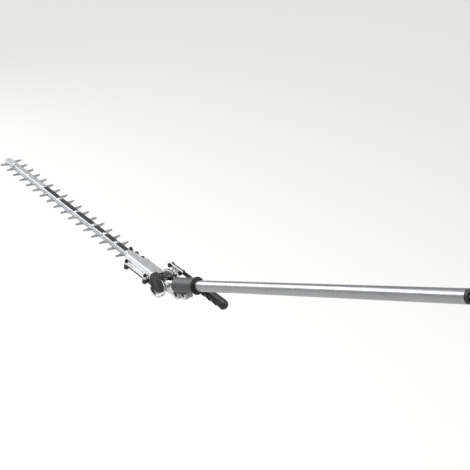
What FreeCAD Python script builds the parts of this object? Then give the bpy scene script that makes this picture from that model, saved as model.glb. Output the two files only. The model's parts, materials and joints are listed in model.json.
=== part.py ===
import FreeCAD, Part
import os
import re
import Sketcher

# Pole hedge-trimmer attachment: a reciprocating cutter bar on a tilting head, at the end of a drive tube.
# Everything is in millimetres. The origin is the centre of the tube's open end, where it plugs into
# the power unit, with the cutter bar level, +X from the bar's tip towards the user and +Z up.
# Two local frames meet at the tilt hinge. HEAD has its X along the bar; SHAFT has its X along the tube.

SIZES = {
    # the tube and what is on it; distances run along the tube from the tilt hinge
    "bend_angle": 30, "tube_radius": 12.7, "tube_wall": 1.5, "tube_start": 62, "tube_length": 750,
    "seat_step": 0.2, "drive_radius": 3.5, "drive_start": 12, "drive_square": 5, "square_length": 14,
    "bush_length": 24, "neck_radius": 14, "neck_bore": 9.5, "bearing_width": 7,
    "bearing_gap": 14, "arm_half_height": 12,
    "collar_start": 48, "collar_end": 125.5, "collar_radius": 18, "ring_width": 3.5, "ring_radius": 20.5,
    "lug_start": 40, "lug_length": 46, "lug_drop": 31, "lug_half_width": 11, "lug_waist": 10,
    "clamp_slit": 2, "clamp_pitch": 26, "clamp_screw_radius": 2.5, "clamp_axis_drop": 21,
    "rail_half_width": 7, "rail_drop": 22,
    "end_flange": 6, "flush_step": 0.3, "end_sleeve": 30, "end_recess": 16, "end_hub_radius": 6.5,
    "end_wall": 1.5, "spoke_width": 2, "bush_wall": 1.5, "button_rise": 3, "button_radius": 2,
    "button_depth": 5,
    # the tilt joint
    "eye_radius": 17, "eye_thickness": 4, "eye_left": 14.5, "eye_right": 10.5, "pin_radius": 6,
    "pin_head_radius": 9, "pin_head": 3, "cheek_inner": 15, "cheek_thickness": 5, "cheek_radius": 24,
    "cheek_height": 32, "disc_radius": 32, "seal_width": 1.5, "seal_margin": 1, "lip_wall": 3,
    "quadrant_radius": 18, "quadrant_thickness": 4, "notch_step": 15, "notch_width": 4,
    "lever_pivot": 33, "lever_rise": 15, "lever_width": 4, "lever_height": 3, "lever_front": 3,
    "lever_rear": 41, "lever_left": 5, "pawl_gap": 0.4, "lever_pin_radius": 2,
    "cover_depth": 8, "cover_front": 23, "cover_rear": 20, "cover_top": 30, "cover_bottom": 8,
    "cover_wall": 2.5, "hood_inner": 10, "hood_rear": 1, "shroud_gap": 0.8,
    "shroud_wall": 2.2, "shroud_rear": 16,
    # the cutter bar; distances run forwards from the hinge
    "blade_height": 7, "tooth_pitch": 35, "tooth_count": 17, "last_tooth": 149.5, "tooth_reach": 33,
    "tooth_root": 9.5, "tooth_crest": 3.6, "tooth_sweep": 2, "knife_thickness": 2.4, "knife_half_width": 12,
    "knife_nose": 12.5, "knife_gap": 0.1, "stroke": 17.5, "heel_half_width": 14, "heel_length": 52,
    "guide_thickness": 3, "guide_half_width": 8, "guide_overlap": 14, "lip_height": 2.2, "lip_width": 2.4,
    "tip_overhang": 10.5, "tip_length": 48.5, "tip_bolt_inset": 39.5, "tip_half_width": 10,
    "far_count": 6, "near_count": 3, "bare_bolts": 2,
    "bolt_radius": 3, "bolt_head_radius": 5, "bolt_head": 3, "sleeve_radius": 4.2, "washer_radius": 7.5,
    "washer_thickness": 1, "nut_radius": 5, "nut_height": 4, "strip_thickness": 1.2, "strip_half_width": 6.2,
    "strip_offset": 1.4, "strip_gap": 1.5,
    # the gear case
    "case_front": 132, "case_rear": 26, "case_half_width": 20, "case_split": 2, "case_bottom": 16.5,
    "case_keel": 14, "case_bilge": 10, "ridge_height": 19, "ridge_left": 13, "ridge_right": 7,
    "shoulder_left": 8, "shoulder_right": 14, "front_step": 100, "step_side": 6,
    "roof_wall": 2, "cavity_half_width": 14.4,
    "crank_forward": 98, "crank_gear_radius": 16, "crank_gear_top": 5, "crank_gear_thickness": 4.5,
    "crank_flange_radius": 12.6, "crank_flange_top": 4.2, "crank_pin_radius": 3, "crank_stub_radius": 5,
    "bearing_radius": 11, "case_floor": 3, "pinion_radius": 4.4, "pinion_length": 6, "output_radius": 3,
    "gear_clearance": 0.4, "cross_gear_radius": 9.5, "cross_gear_width": 6, "cross_shaft_radius": 3,
    "input_gear_radius": 6, "input_gear_length": 6, "groove_width": 1.4, "groove_depth": 1.2,
    "case_screw_radius": 2.5, "case_screw_head": 4.5, "case_head_height": 4.5, "boss_radius": 6.2,
    "boss_depth": 13, "flange_half": 4, "flange_reach": 28,
    "left_screw_front": 117, "left_screw_rear": 44, "left_screw_side": 25, "left_boss_top": 8,
    "right_screw_front": 159, "right_screw_pitch": 24, "right_screw_side": 19.6, "right_boss_top": 4.5,
    "right_screw_count": 3, "nipple_radius": 2.5, "nipple_side": 15, "nipple_inset": 14,
    # the adjusting handle
    "bracket_inner": 31, "bracket_thickness": 4, "bracket_height": 11, "knob_front": 21, "knob_rear": 18.5,
    "knob_level": 32, "knob_radius": 5.6, "knob_thickness": 4, "bracket_foot": 8, "arm_thickness": 4,
    "arm_margin": 1, "grip_start": 80, "grip_length": 95, "grip_radius": 12.2, "grip_side": 34.5,
    "grip_level": 29, "tang_inset": 16, "scallop_pitch": 21, "scallop_radius": 13, "scallop_depth": 3.2,
    "scallop_count": 4,
    "pocket_count": 3, "pocket_length": 13, "pocket_height": 9, "pocket_depth": 4,
    "fit_clearance": 0.05, "run_clearance": 0.3,
}

HEAD, SHAFT = "head", "shaft"
ALIAS = re.compile(r"[a-z]+(?:_[a-z]+)+|stroke")
MADE = []
TUBE_END = "(tube_start + tube_length)"

doc = FreeCAD.newDocument("pole_hedge_trimmer")
sheet = doc.addObject("Spreadsheet::Sheet", "Sizes")
for row, (alias, value) in enumerate(SIZES.items(), start=1):
    sheet.set(f"A{row}", alias)
    sheet.set(f"B{row}", str(value))
    sheet.setAlias(f"B{row}", alias)
doc.recompute()


def linked(text):
    """An expression in sheet words, such as "2 * tube_radius", as FreeCAD reads it."""
    return ALIAS.sub(lambda word: "Sizes." + word.group(0), str(text))


def value_of(text):
    """The number that an expression in sheet words has now."""
    found = sheet.evalExpression(linked(text))
    return float(getattr(found, "Value", found))


def bind(thing, name, text):
    thing.setExpression(name, linked(text))


def locate(thing, at):
    """Binds a primitive's position to three expressions."""
    for axis, text in zip("xyz", at):
        bind(thing, f"Placement.Base.{axis}", text)


def box(x, y, z):
    """A box from three (low, high) pairs of expressions."""
    thing = doc.addObject("Part::Box", "box")
    for name, (low, high) in zip(("Length", "Width", "Height"), (x, y, z)):
        bind(thing, name, f"({high}) - ({low})")
    locate(thing, [low for low, high in (x, y, z)])
    return thing


TURNS = {"X": ((0, 1, 0), 90), "Y": ((1, 0, 0), -90), "Z": ((0, 0, 1), 0)}


def aim(thing, along):
    """Turns a primitive made along Z so that it runs along X, Y or Z."""
    axis, angle = TURNS[along]
    thing.Placement.Rotation = FreeCAD.Rotation(FreeCAD.Vector(*axis), angle)


def rod(along, radius, low, high, at=(0, 0, 0)):
    """A cylinder along one axis from low to high; at gives where its axis passes."""
    thing = doc.addObject("Part::Cylinder", "rod")
    bind(thing, "Radius", radius)
    bind(thing, "Height", f"({high}) - ({low})")
    aim(thing, along)
    spot = list(at)
    spot["XYZ".index(along)] = low
    locate(thing, spot)
    return thing


def cone(along, low_radius, high_radius, low, high, at=(0, 0, 0)):
    thing = doc.addObject("Part::Cone", "cone")
    bind(thing, "Radius1", low_radius)
    bind(thing, "Radius2", high_radius)
    bind(thing, "Height", f"({high}) - ({low})")
    aim(thing, along)
    spot = list(at)
    spot["XYZ".index(along)] = low
    locate(thing, spot)
    return thing


def ball(radius, at):
    thing = doc.addObject("Part::Sphere", "ball")
    bind(thing, "Radius", radius)
    locate(thing, at)
    return thing


def hexagon(circumradius, low, high, at):
    thing = doc.addObject("Part::Prism", "hexagon")
    thing.Polygon = 6
    bind(thing, "Circumradius", circumradius)
    bind(thing, "Height", f"({high}) - ({low})")
    locate(thing, (at[0], at[1], low))
    return thing


def fuse(*things):
    if len(things) == 1:
        return things[0]
    thing = doc.addObject("Part::MultiFuse", "joined")
    thing.Shapes = list(things)
    thing.Refine = True
    return thing


def cut(base, *tools):
    thing = doc.addObject("Part::Cut", "cut")
    thing.Base = base
    thing.Tool = fuse(*tools)
    thing.Refine = True
    return thing


def overlap_of(first, second):
    thing = doc.addObject("Part::Common", "shared")
    thing.Base = first
    thing.Tool = second
    return thing


def group(things):
    thing = doc.addObject("Part::Compound", "group")
    thing.Links = list(things)
    return thing


def origin_plane(body, role):
    return next(feature for feature in body.Origin.OriginFeatures if feature.Role == role)


def outline(body, role, points, lift="0"):
    """A closed, fully constrained polygon on one of the body's own planes, lifted along its normal."""
    sketch = body.newObject("Sketcher::SketchObject", "outline")
    sketch.AttachmentSupport = [(origin_plane(body, role), "")]
    sketch.MapMode = "FlatFace"
    bind(sketch, "AttachmentOffset.Base.z", lift)
    corners = [FreeCAD.Vector(value_of(x), value_of(y), 0) for x, y in points]
    for index, corner in enumerate(corners):
        sketch.addGeometry(Part.LineSegment(corner, corners[(index + 1) % len(corners)]), False)
    for index in range(len(corners)):
        sketch.addConstraint(Sketcher.Constraint("Coincident", index, 2, (index + 1) % len(corners), 1))
    for index, (corner, texts) in enumerate(zip(corners, points)):
        for kind, coordinate, text in zip(("DistanceX", "DistanceY"), corner, texts):
            if str(text) == "0":
                line = -2 if kind == "DistanceX" else -1
                sketch.addConstraint(Sketcher.Constraint("PointOnObject", index, 1, line))
                continue
            place = sketch.addConstraint(Sketcher.Constraint(kind, -1, 1, index, 1, coordinate))
            bind(sketch, f"Constraints[{place}]", text)
    return sketch


def new_body():
    return doc.addObject("PartDesign::Body", "Body")


def pad(body, sketch, length):
    feature = body.newObject("PartDesign::Pad", "Pad")
    feature.Profile = sketch
    bind(feature, "Length", length)
    return feature


def plate(role, points, low, high):
    """A flat piece: a polygon on an origin plane, thickened from low to high along its normal."""
    body = new_body()
    pad(body, outline(body, role, points, low), f"({high}) - ({low})")
    return body


def turned(along, points):
    """A turned piece: points are (distance along the axis, radius), revolved once."""
    body = new_body()
    if along == "Z":
        sketch = outline(body, "XZ_Plane", [(radius, place) for place, radius in points])
    else:
        sketch = outline(body, "XZ_Plane" if along == "X" else "YZ_Plane", points)
    feature = body.newObject("PartDesign::Revolution", "Revolution")
    feature.Profile = sketch
    feature.ReferenceAxis = (sketch, ["V_Axis" if along == "Z" else "H_Axis"])
    feature.Angle = 360
    return body


def ring(along, inner, outer, low, high, at=(0, 0, 0)):
    return cut(rod(along, outer, low, high, at), rod(along, inner, f"({low}) - 1", f"({high}) + 1", at))


def sub_part(name, thing, frame, at=(0, 0, 0)):
    """Names a finished sub-part and binds its Placement to its frame, at a spot given in that frame."""
    if thing.TypeId in ("Part::Cylinder", "Part::Box"):
        thing = group([thing])  # a bare primitive keeps its own place inside the group
    thing.Label = name
    x, y, z = at
    cosine, sine = "cos(bend_angle * 1deg)", "sin(bend_angle * 1deg)"
    if frame == HEAD:
        thing.Placement.Rotation = FreeCAD.Rotation(FreeCAD.Vector(0, 1, 0), 0)
        bind(thing, "Placement.Base.x", f"({x}) - {TUBE_END} * {cosine}")
        bind(thing, "Placement.Base.z", f"({z}) - {TUBE_END} * {sine}")
    else:
        turn = FreeCAD.Rotation(FreeCAD.Vector(0, -1, 0), value_of("bend_angle"))
        thing.Placement = FreeCAD.Placement(FreeCAD.Vector(), turn)
        bind(thing, "Placement.Rotation.Angle", "bend_angle")
        bind(thing, "Placement.Base.x", f"(({x}) - {TUBE_END}) * {cosine} - ({z}) * {sine}")
        bind(thing, "Placement.Base.z", f"(({x}) - {TUBE_END}) * {sine} + ({z}) * {cosine}")
    bind(thing, "Placement.Base.y", y)
    MADE.append(thing)


# ---- the drive tube -------------------------------------------------------------------------------

TUBE_BORE = "(tube_radius - tube_wall)"
SEAT_RADIUS = "(tube_radius - seat_step)"
SEAT_END = "(collar_end + ring_width)"
BUTTON_PLACE = f"({TUBE_END} + end_flange / 2)"


def make_tube():
    """The drive tube, turned down a little where the collar and its ring seat on it."""
    tube = turned("X", [("tube_start", TUBE_BORE), (TUBE_END, TUBE_BORE), (TUBE_END, "tube_radius"),
                        (SEAT_END, "tube_radius"), (SEAT_END, SEAT_RADIUS), ("tube_start", SEAT_RADIUS)])
    sub_part("shaft_tube", tube, SHAFT)


def make_end_sleeve():
    """The moulded liner in the tube's open end: a flange, a recess, spokes and a hub."""
    plug = f"({TUBE_BORE} - fit_clearance)"
    mouth = f"({TUBE_END} + end_flange)"
    floor = f"({mouth} - end_recess)"
    inner = f"({plug} - end_wall)"
    flange = "(tube_radius - flush_step)"
    shell = turned("X", [(f"{TUBE_END} - end_sleeve", inner), (mouth, inner), (mouth, f"{flange} - 0.8"),
                         (f"{mouth} - 0.8", flange), (TUBE_END, flange),
                         (TUBE_END, plug), (f"{TUBE_END} - end_sleeve", plug)])
    hub = rod("X", "end_hub_radius", f"{floor} - 6", f"{floor} + 8")
    reach = f"({inner} + end_wall / 2)"
    spokes = []
    for angle in range(0, 180, 45):
        spoke = box((f"{floor} - 6", floor), (f"-{reach}", reach), ("-spoke_width / 2", "spoke_width / 2"))
        spoke.Placement.Rotation = FreeCAD.Rotation(FreeCAD.Vector(1, 0, 0), angle)
        cosine, sine = f"cos({angle}deg)", f"sin({angle}deg)"
        bind(spoke, "Placement.Base.y", f"-{reach} * {cosine} + spoke_width / 2 * {sine}")
        bind(spoke, "Placement.Base.z", f"-{reach} * {sine} - spoke_width / 2 * {cosine}")
        spokes.append(spoke)
    port = rod("Z", "button_radius + run_clearance / 2", "end_hub_radius", "tube_radius + 1",
               (BUTTON_PLACE, 0, 0))
    hole = "(drive_radius + bush_wall + fit_clearance)"
    bore = rod("X", hole, f"{floor} - 7", f"{floor} + 9")
    sub_part("end_sleeve", cut(fuse(shell, hub, *spokes), bore, port), SHAFT)
    bush = ring("X", "drive_radius + fit_clearance", hole, f"{floor} - 6", f"{floor} + 8")
    sub_part("end_bush", bush, SHAFT)


def make_lock_button():
    """The spring-loaded button in the flange that snaps into the power unit's socket."""
    top, spot = "(tube_radius + button_rise)", (BUTTON_PLACE, 0, 0)
    stem = rod("Z", "button_radius", "tube_radius - button_depth", f"{top} - 1", spot)
    crown = cone("Z", "button_radius", "button_radius - 1", f"{top} - 1", top, spot)
    sub_part("lock_button", fuse(stem, crown), SHAFT)


def make_liner_bushes():
    """Rubber spacers that keep the drive shaft off the tube's wall."""
    rings = []
    for share in (0.2, 0.45, 0.7):
        middle = f"(tube_start + {share} * tube_length)"
        rings.append(ring("X", "drive_radius + fit_clearance", TUBE_BORE, f"{middle} - bush_length / 2",
                          f"{middle} + bush_length / 2"))
    sub_part("liner_bushes", group(rings), SHAFT)


def make_drive_shaft():
    end = f"({TUBE_END} + end_flange - 3)"
    round_end = f"({end} - square_length)"
    bar = rod("X", "drive_radius", "drive_start", round_end)
    square = box((f"{round_end} - 1", end), ("-drive_square / 2", "drive_square / 2"),
                 ("-drive_square / 2", "drive_square / 2"))
    sub_part("drive_shaft", fuse(bar, square), SHAFT)


# ---- the neck and its clamp -----------------------------------------------------------------------

SOCKET = "tube_start"
BARREL_START = "(quadrant_radius + 3)"


def make_neck():
    """The cast neck: two eyes on the tilt hinge, a barrel for the bearings and a spigot in the collar."""
    sides = [("-eye_left", "-eye_left + eye_thickness"), ("eye_right - eye_thickness", "eye_right")]
    height = ("-arm_half_height", "arm_half_height")
    eyes = [rod("Y", "eye_radius", *side) for side in sides]
    arms = [box(("0", "eye_radius + 8"), side, height) for side in sides]
    barrel = rod("X", "neck_radius", BARREL_START, SOCKET)
    rail = box(("eye_radius + 5", "lug_start"), ("-rail_half_width", "rail_half_width"), ("-rail_drop", "0"))
    bore = fuse(rod("X", "neck_bore", f"{BARREL_START} - 0.5", f"{SOCKET} + 1"),
                rod("X", "input_gear_radius + 1", "0", f"{BARREL_START}"))
    pins = rod("Y", "pin_radius", "-eye_left - 1", "eye_right + 1")
    pivot_lug = box(("lever_pivot - 3.5", "lever_pivot + 3.5"), ("eye_right - 5", "eye_right"),
                    ("0", "lever_rise + 2.5"))
    pivot_hole = rod("Y", "lever_pin_radius", "0", "eye_right + 1", ("lever_pivot", 0, "lever_rise"))
    body = fuse(*eyes, *arms, barrel, rail, pivot_lug)
    sub_part("neck_casting", cut(body, bore, pins, pivot_hole), SHAFT)


def make_neck_bearings():
    first = f"({BARREL_START} + 1)"
    second = f"({first} + bearing_width + bearing_gap)"
    rings = [ring("X", "drive_radius + fit_clearance", "neck_bore", low, f"{low} + bearing_width")
             for low in (first, second)]
    sub_part("neck_bearings", group(rings), SHAFT)


def clamp_places():
    """Where the two clamp screws stand along the tube."""
    middle = "(lug_start + lug_length / 2)"
    return [f"({middle} {sign} clamp_pitch / 2)" for sign in "-+"]


def make_collar():
    """The split collar over neck and tube, with the clamp lugs under it."""
    sleeve = turned("X", [("collar_start", "neck_radius"), (SOCKET, "neck_radius"), (SOCKET, SEAT_RADIUS),
                          ("collar_end", SEAT_RADIUS), ("collar_end", "collar_radius - 0.5"),
                          ("collar_end - 2", "collar_radius"), ("collar_start + 3", "collar_radius"),
                          ("collar_start", "collar_radius - 2")])
    lug_end, middle = "(lug_start + lug_length)", "(lug_start + lug_length / 2)"
    side, wide = "lug_half_width", "(lug_half_width + 1)"
    lug = box(("lug_start", lug_end), (f"-{side}", side), ("-lug_drop", "-tube_radius - 2"))
    slit = box(("lug_start - 1", lug_end), ("-clamp_slit / 2", "clamp_slit / 2"),
               ("-lug_drop - 1", "-neck_radius + 2"))
    waist = box((f"{middle} - lug_waist / 2", f"{middle} + lug_waist / 2"), (f"-{wide}", wide),
                ("-lug_drop - 1", "-collar_radius - 1"))
    opened = [slit, waist, rod("X", "neck_radius", "lug_start - 1", SOCKET),
              rod("X", SEAT_RADIUS, SOCKET, "collar_end + 1")]
    for place in clamp_places():
        spot = (place, 0, "-clamp_axis_drop")
        opened.append(rod("Y", "clamp_screw_radius", f"-{wide}", wide, spot))
        opened.append(rod("Y", "clamp_screw_radius + 2.2", f"-{wide}", f"-{side} + 4", spot))
    sub_part("clamp_collar", cut(fuse(sleeve, lug), *opened), SHAFT)


def make_clamp_screws():
    """Two socket-head screws and their round nuts across the slit lugs."""
    screws, nuts = [], []
    side = "lug_half_width"
    for place in clamp_places():
        spot = (place, 0, "-clamp_axis_drop")
        shank = rod("Y", "clamp_screw_radius", f"-{side} + 3", f"{side} + 2", spot)
        head = rod("Y", "clamp_screw_radius + 2", f"-{side}", f"-{side} + 4", spot)
        socket = rod("Y", "clamp_screw_radius - 1", f"-{side} - 1", f"-{side} + 2.5", spot)
        screws.append(cut(fuse(shank, head), socket))
        nuts.append(ring("Y", "clamp_screw_radius", "clamp_screw_radius + 2.2", side, f"{side} + 3", spot))
    sub_part("clamp_screws", group(screws), SHAFT)
    sub_part("clamp_nuts", group(nuts), SHAFT)


def make_collar_ring():
    rubber = turned("X", [("collar_end", SEAT_RADIUS), (SEAT_END, SEAT_RADIUS), (SEAT_END, "ring_radius - 1"),
                          (f"{SEAT_END} - 1", "ring_radius"), ("collar_end + 0.5", "ring_radius"),
                          ("collar_end", "ring_radius - 0.5")])
    sub_part("collar_ring", rubber, SHAFT)


# ---- the tilt joint -------------------------------------------------------------------------------

CHEEK_OUTER = "(cheek_inner + cheek_thickness)"


def make_hinge_pins():
    """Shouldered pins pressed in the neck's eyes; the cheeks turn on them."""
    shoulder = f"({CHEEK_OUTER} + run_clearance)"
    left = fuse(rod("Y", "pin_radius", f"-{shoulder}", "-eye_left + eye_thickness"),
                rod("Y", "pin_head_radius", f"-{shoulder} - pin_head", f"-{shoulder}"))
    right = fuse(rod("Y", "pin_radius", "eye_right - eye_thickness", shoulder),
                 rod("Y", "pin_head_radius", shoulder, f"{shoulder} + pin_head / 2"))
    sub_part("hinge_pins", group([left, right]), SHAFT)


def make_lock_lever():
    """The spring-loaded lever over the neck, whose pawl stands over the notches of the index quadrant."""
    inner = "(eye_right + run_clearance)"
    outer = f"({inner} + lever_width)"
    tip = "(quadrant_radius + pawl_gap)"
    low, high = f"({tip} + 0.5)", f"({tip} + 0.5 + lever_height)"
    arm = box(("lever_front - 3", "lever_rear"), ("-lever_left", outer), (low, high))
    drop = box(("lever_pivot - 4", "lever_pivot + 4"), (inner, outer), ("lever_rise - 4", high))
    pawl = box(("lever_front", "lever_front + notch_width - 0.8"), (inner, outer), (tip, high))
    hook = box(("lever_front - 3", "lever_front + 4"), ("-lever_left", outer), (low, f"{high} + 2"))
    spot = ("lever_pivot", 0, "lever_rise")
    hole = rod("Y", "lever_pin_radius + fit_clearance", "eye_right", f"{outer} + 1", spot)
    sub_part("lock_lever", cut(fuse(arm, drop, pawl, hook), hole), SHAFT)
    sub_part("lever_pin", rod("Y", "lever_pin_radius", "eye_right - 5", f"{outer} + 0.4", spot), SHAFT)


def make_quadrant():
    """The notched index plate on the right cheek, centred on the hinge."""
    low, high = "(cheek_inner - quadrant_thickness)", "cheek_inner"
    disc = rod("Y", "quadrant_radius", low, high)
    hub = rod("Y", "pin_radius + run_clearance", f"{low} - 1", f"{high} + 1")
    notches = []
    for index in range(-3, 8):
        turn = f"((90 - {index} * notch_step) * 1deg)"
        spot = (f"(quadrant_radius + 0.4) * cos{turn}", 0, f"(quadrant_radius + 0.4) * sin{turn}")
        notches.append(rod("Y", "notch_width / 2", f"{low} - 1", f"{high} + 1", spot))
    sub_part("index_quadrant", cut(disc, hub, *notches), HEAD)


def make_cheeks():
    """The two cast cheeks that carry the hinge pins, fixed to the rear of the gear case."""
    half = "(cheek_height / 2)"
    bore = "(pin_radius + fit_clearance)"
    lip_low, lip_high = f"(-{CHEEK_OUTER} - cover_depth)", f"(1 - {CHEEK_OUTER})"
    left = fuse(rod("Y", "cheek_radius", f"-{CHEEK_OUTER}", "-cheek_inner"),
                box(("-case_rear", "0"), (f"-{CHEEK_OUTER}", "-cheek_inner"), (f"-{half}", half)))
    above = box(("-cheek_radius - 1", "cheek_radius + 1"), (f"{lip_low} - 1", f"{lip_high} + 1"),
                ("-cover_bottom - run_clearance", "cheek_radius + 1"))
    lip = cut(rod("Y", "cheek_radius", lip_low, lip_high),
              rod("Y", "cheek_radius - lip_wall", f"{lip_low} - 1", f"{lip_high} + 1"), above)
    hole = rod("Y", bore, f"-{CHEEK_OUTER} - 1", "-cheek_inner + 1")
    sub_part("cheek_left", cut(fuse(left, lip), hole), HEAD)
    disc = rod("Y", "disc_radius", "cheek_inner", CHEEK_OUTER)
    foot = box(("-case_rear", "0"), ("cheek_inner", CHEEK_OUTER), (f"-{half}", half))
    front = box(("-disc_radius - 1", "-case_rear"), ("cheek_inner - 1", f"{CHEEK_OUTER} + 1"),
                ("-disc_radius", "disc_radius"))
    hole = rod("Y", bore, "cheek_inner - 1", f"{CHEEK_OUTER} + 1")
    sub_part("cheek_right", cut(fuse(disc, foot), hole, front), HEAD)
    seal = ring("Y", "disc_radius", "disc_radius + seal_width", "cheek_inner + seal_margin",
                f"{CHEEK_OUTER} - seal_margin")
    front = box(("-disc_radius - seal_width - 1", "-case_rear"), ("cheek_inner", CHEEK_OUTER),
                ("-disc_radius - seal_width", "disc_radius + seal_width"))
    sub_part("joint_seal", cut(seal, front), HEAD)


def make_joint_cover():
    """The moulded cover over the left hinge pin, with a hood that reaches in over the eye."""
    low, high = f"(-{CHEEK_OUTER} - cover_depth)", f"(-{CHEEK_OUTER})"
    points = [("-cover_front", "2"), ("-cover_front + 12", "-cover_bottom"),
              ("cover_rear - 8", "-cover_bottom"), ("cover_rear", "-cover_bottom + 8"),
              ("cover_rear", "cover_top - 12"), ("cover_rear - 12", "cover_top"),
              ("-cover_front + 5", "cover_top"), ("-cover_front", "cover_top - 5")]
    shell = plate("XZ_Plane", points, f"-{high}", f"-{low}")
    hood_low = "(cheek_radius + run_clearance)"
    hood = box(("-cover_front + 2", "hood_rear"), (low, "-hood_inner"), (hood_low, "cover_top"))
    head_room = box(("-pin_head_radius - 1.5", "pin_head_radius + 1.5"), (f"{low} + cover_wall", high),
                    ("-cover_bottom - 1", "pin_head_radius + 1.5"))
    sub_part("joint_cover", cut(fuse(shell, hood), head_room), HEAD)


def make_gear_shroud():
    """A curved guard in front of the bevels, between the left cheek and the right eye."""
    low, high = "(-cheek_inner)", "(eye_right - eye_thickness - run_clearance)"
    inner, outer = "(eye_radius + shroud_gap)", "(eye_radius + shroud_gap + shroud_wall)"
    wide = (f"-{outer} - 1", f"{outer} + 1")
    rear = box(("-shroud_rear", f"{outer} + 1"), (f"{low} - 1", f"{high} + 1"), wide)
    port = rod("X", "output_radius + 4", f"-{outer} - 2", "0")
    sub_part("gear_shroud", cut(ring("Y", inner, outer, low, high), rear, port), HEAD)


# ---- the cutter bar -------------------------------------------------------------------------------

UPPER_LOW = "(blade_height + knife_gap / 2)"
UPPER_HIGH = f"({UPPER_LOW} + knife_thickness)"
LOWER_HIGH = "(blade_height - knife_gap / 2)"
LOWER_LOW = f"({LOWER_HIGH} - knife_thickness)"
GUIDE_LOW = f"({UPPER_HIGH} + knife_gap)"
GUIDE_HIGH = f"({GUIDE_LOW} + guide_thickness)"
KNIFE_FRONT = "(last_tooth + (tooth_count - 1) * tooth_pitch + knife_nose)"
BAR_TIP = f"({KNIFE_FRONT} + tip_overhang)"
TIP_JOINT = f"({BAR_TIP} - tip_length)"
GUIDE_REAR = "(case_front - guide_overlap)"
FAR_PITCH = "(tooth_pitch * 16 / 7)"
NEAR_PITCH = "(tooth_pitch * 7 / 5)"


def bolt_places():
    """Where the bar's bolts stand, as expressions for x: a wide pitch first, a closer one near the case."""
    first = f"({BAR_TIP} - tip_bolt_inset)"
    last_far = f"({first} - (far_count - 1) * {FAR_PITCH})"
    far = [f"({index} * {FAR_PITCH} - {first})" for index in range(SIZES["far_count"])]
    near = [f"({index + 1} * {NEAR_PITCH} - {last_far})" for index in range(SIZES["near_count"])]
    return far + near


def slot(place, low, high):
    """A round-ended slot for one bolt sleeve, as long as the knife's stroke needs."""
    half = "(stroke / 2 + run_clearance)"
    radius = "(sleeve_radius + run_clearance)"
    middle = box((f"{place} - {half}", f"{place} + {half}"), (f"-{radius}", radius), (low, high))
    ends = [rod("Z", radius, low, high, (f"{place} {sign} {half}", 0, 0)) for sign in "-+"]
    return fuse(middle, *ends)


def teeth(body, side, first, count, low, high):
    """Pads one tooth on the given side of a knife's strip and repeats it along the bar."""
    root, crest = "tooth_root / 2", "tooth_crest / 2"
    centre = f"(-last_tooth - {first} * tooth_pitch)"
    swept = f"({centre} - tooth_sweep)"
    points = [(f"{centre} - {root}", f"{side}(knife_half_width - 1)"),
              (f"{swept} - {crest}", f"{side}(tooth_reach - 2)"), (swept, f"{side}tooth_reach"),
              (f"{swept} + {crest}", f"{side}(tooth_reach - 3)"),
              (f"{centre} + {root}", f"{side}(knife_half_width - 1)")]
    tooth = pad(body, outline(body, "XY_Plane", points, low), f"{high} - {low}")
    pattern = body.newObject("PartDesign::LinearPattern", "Teeth")
    pattern.Originals = [tooth]
    pattern.Direction = (origin_plane(body, "X_Axis"), [""])
    pattern.Reversed = True
    bind(pattern, "Length", f"({count} - 1) * tooth_pitch")
    bind(pattern, "Occurrences", count)
    body.Tip = pattern


def make_knife(name, low, high):
    """One toothed knife: a strip with teeth on both edges, the bolt slots and the crank pin's window.

    The right edge has one tooth less, because the case's first screw stands in its place.
    """
    body = new_body()
    heel_front, heel_rear = "(-crank_forward - heel_length / 2)", "(-crank_forward + heel_length / 2)"
    edge, heel = "knife_half_width", "heel_half_width"
    strip = [(f"-{KNIFE_FRONT}", f"-{edge}"), (heel_front, f"-{edge}"), (heel_front, f"-{heel}"),
             (heel_rear, f"-{heel}"), (heel_rear, heel), (heel_front, heel), (heel_front, edge),
             (f"-{KNIFE_FRONT}", edge), (f"-{KNIFE_FRONT} - 4", "4"), (f"-{KNIFE_FRONT} - 4", "-4")]
    pad(body, outline(body, "XY_Plane", strip, low), f"{high} - {low}")
    teeth(body, "-", 0, "tooth_count", low, high)
    teeth(body, "", 1, "(tooth_count - 1)", low, high)
    reach = "(crank_pin_radius + run_clearance)"
    window = box((f"-crank_forward - stroke - {reach}", f"-crank_forward + stroke + {reach}"),
                 (f"-stroke / 2 - {reach}", f"stroke / 2 + {reach}"), (f"{low} - 1", f"{high} + 1"))
    slots = [slot(place, f"{low} - 1", f"{high} + 1") for place in bolt_places()]
    sub_part(name, cut(body, window, *slots), HEAD)


def make_guide():
    """The stiff guide bar over the knives with a raised left edge, its tip plate and the dark wear strips."""
    low, high = GUIDE_LOW, GUIDE_HIGH
    places = bolt_places()
    side, nose = "guide_half_width", f"({BAR_TIP} - tip_half_width)"
    front = f"-{TIP_JOINT}"
    flat = box((front, f"-{GUIDE_REAR}"), (f"-{side}", side), (low, high))
    lip = box((front, "-case_front"), (f"-{side}", f"lip_width - {side}"), (low, f"{high} + lip_height"))
    holes = [rod("Z", "bolt_radius", f"{low} - 1", f"{high} + 1", (place, 0, 0)) for place in places]
    sub_part("guide_bar", cut(fuse(flat, lip), *holes[1:]), HEAD)
    tip = fuse(box((f"-{nose}", front), ("-tip_half_width", "tip_half_width"), (low, high)),
               rod("Z", "tip_half_width", low, high, (f"-{nose}", 0, 0)))
    sub_part("tip_plate", cut(tip, holes[0]), HEAD)
    strips = []
    bare = SIZES["bare_bolts"]
    gap = "(bolt_head_radius + strip_gap)"
    for before, after in zip(places[bare:-1], places[bare + 1:]):
        strips.append(box((f"{before} + {gap}", f"{after} - {gap}"),
                          ("strip_offset - strip_half_width", "strip_offset + strip_half_width"),
                          (high, f"{high} + strip_thickness")))
    sub_part("wear_strips", group(strips), HEAD)


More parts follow.
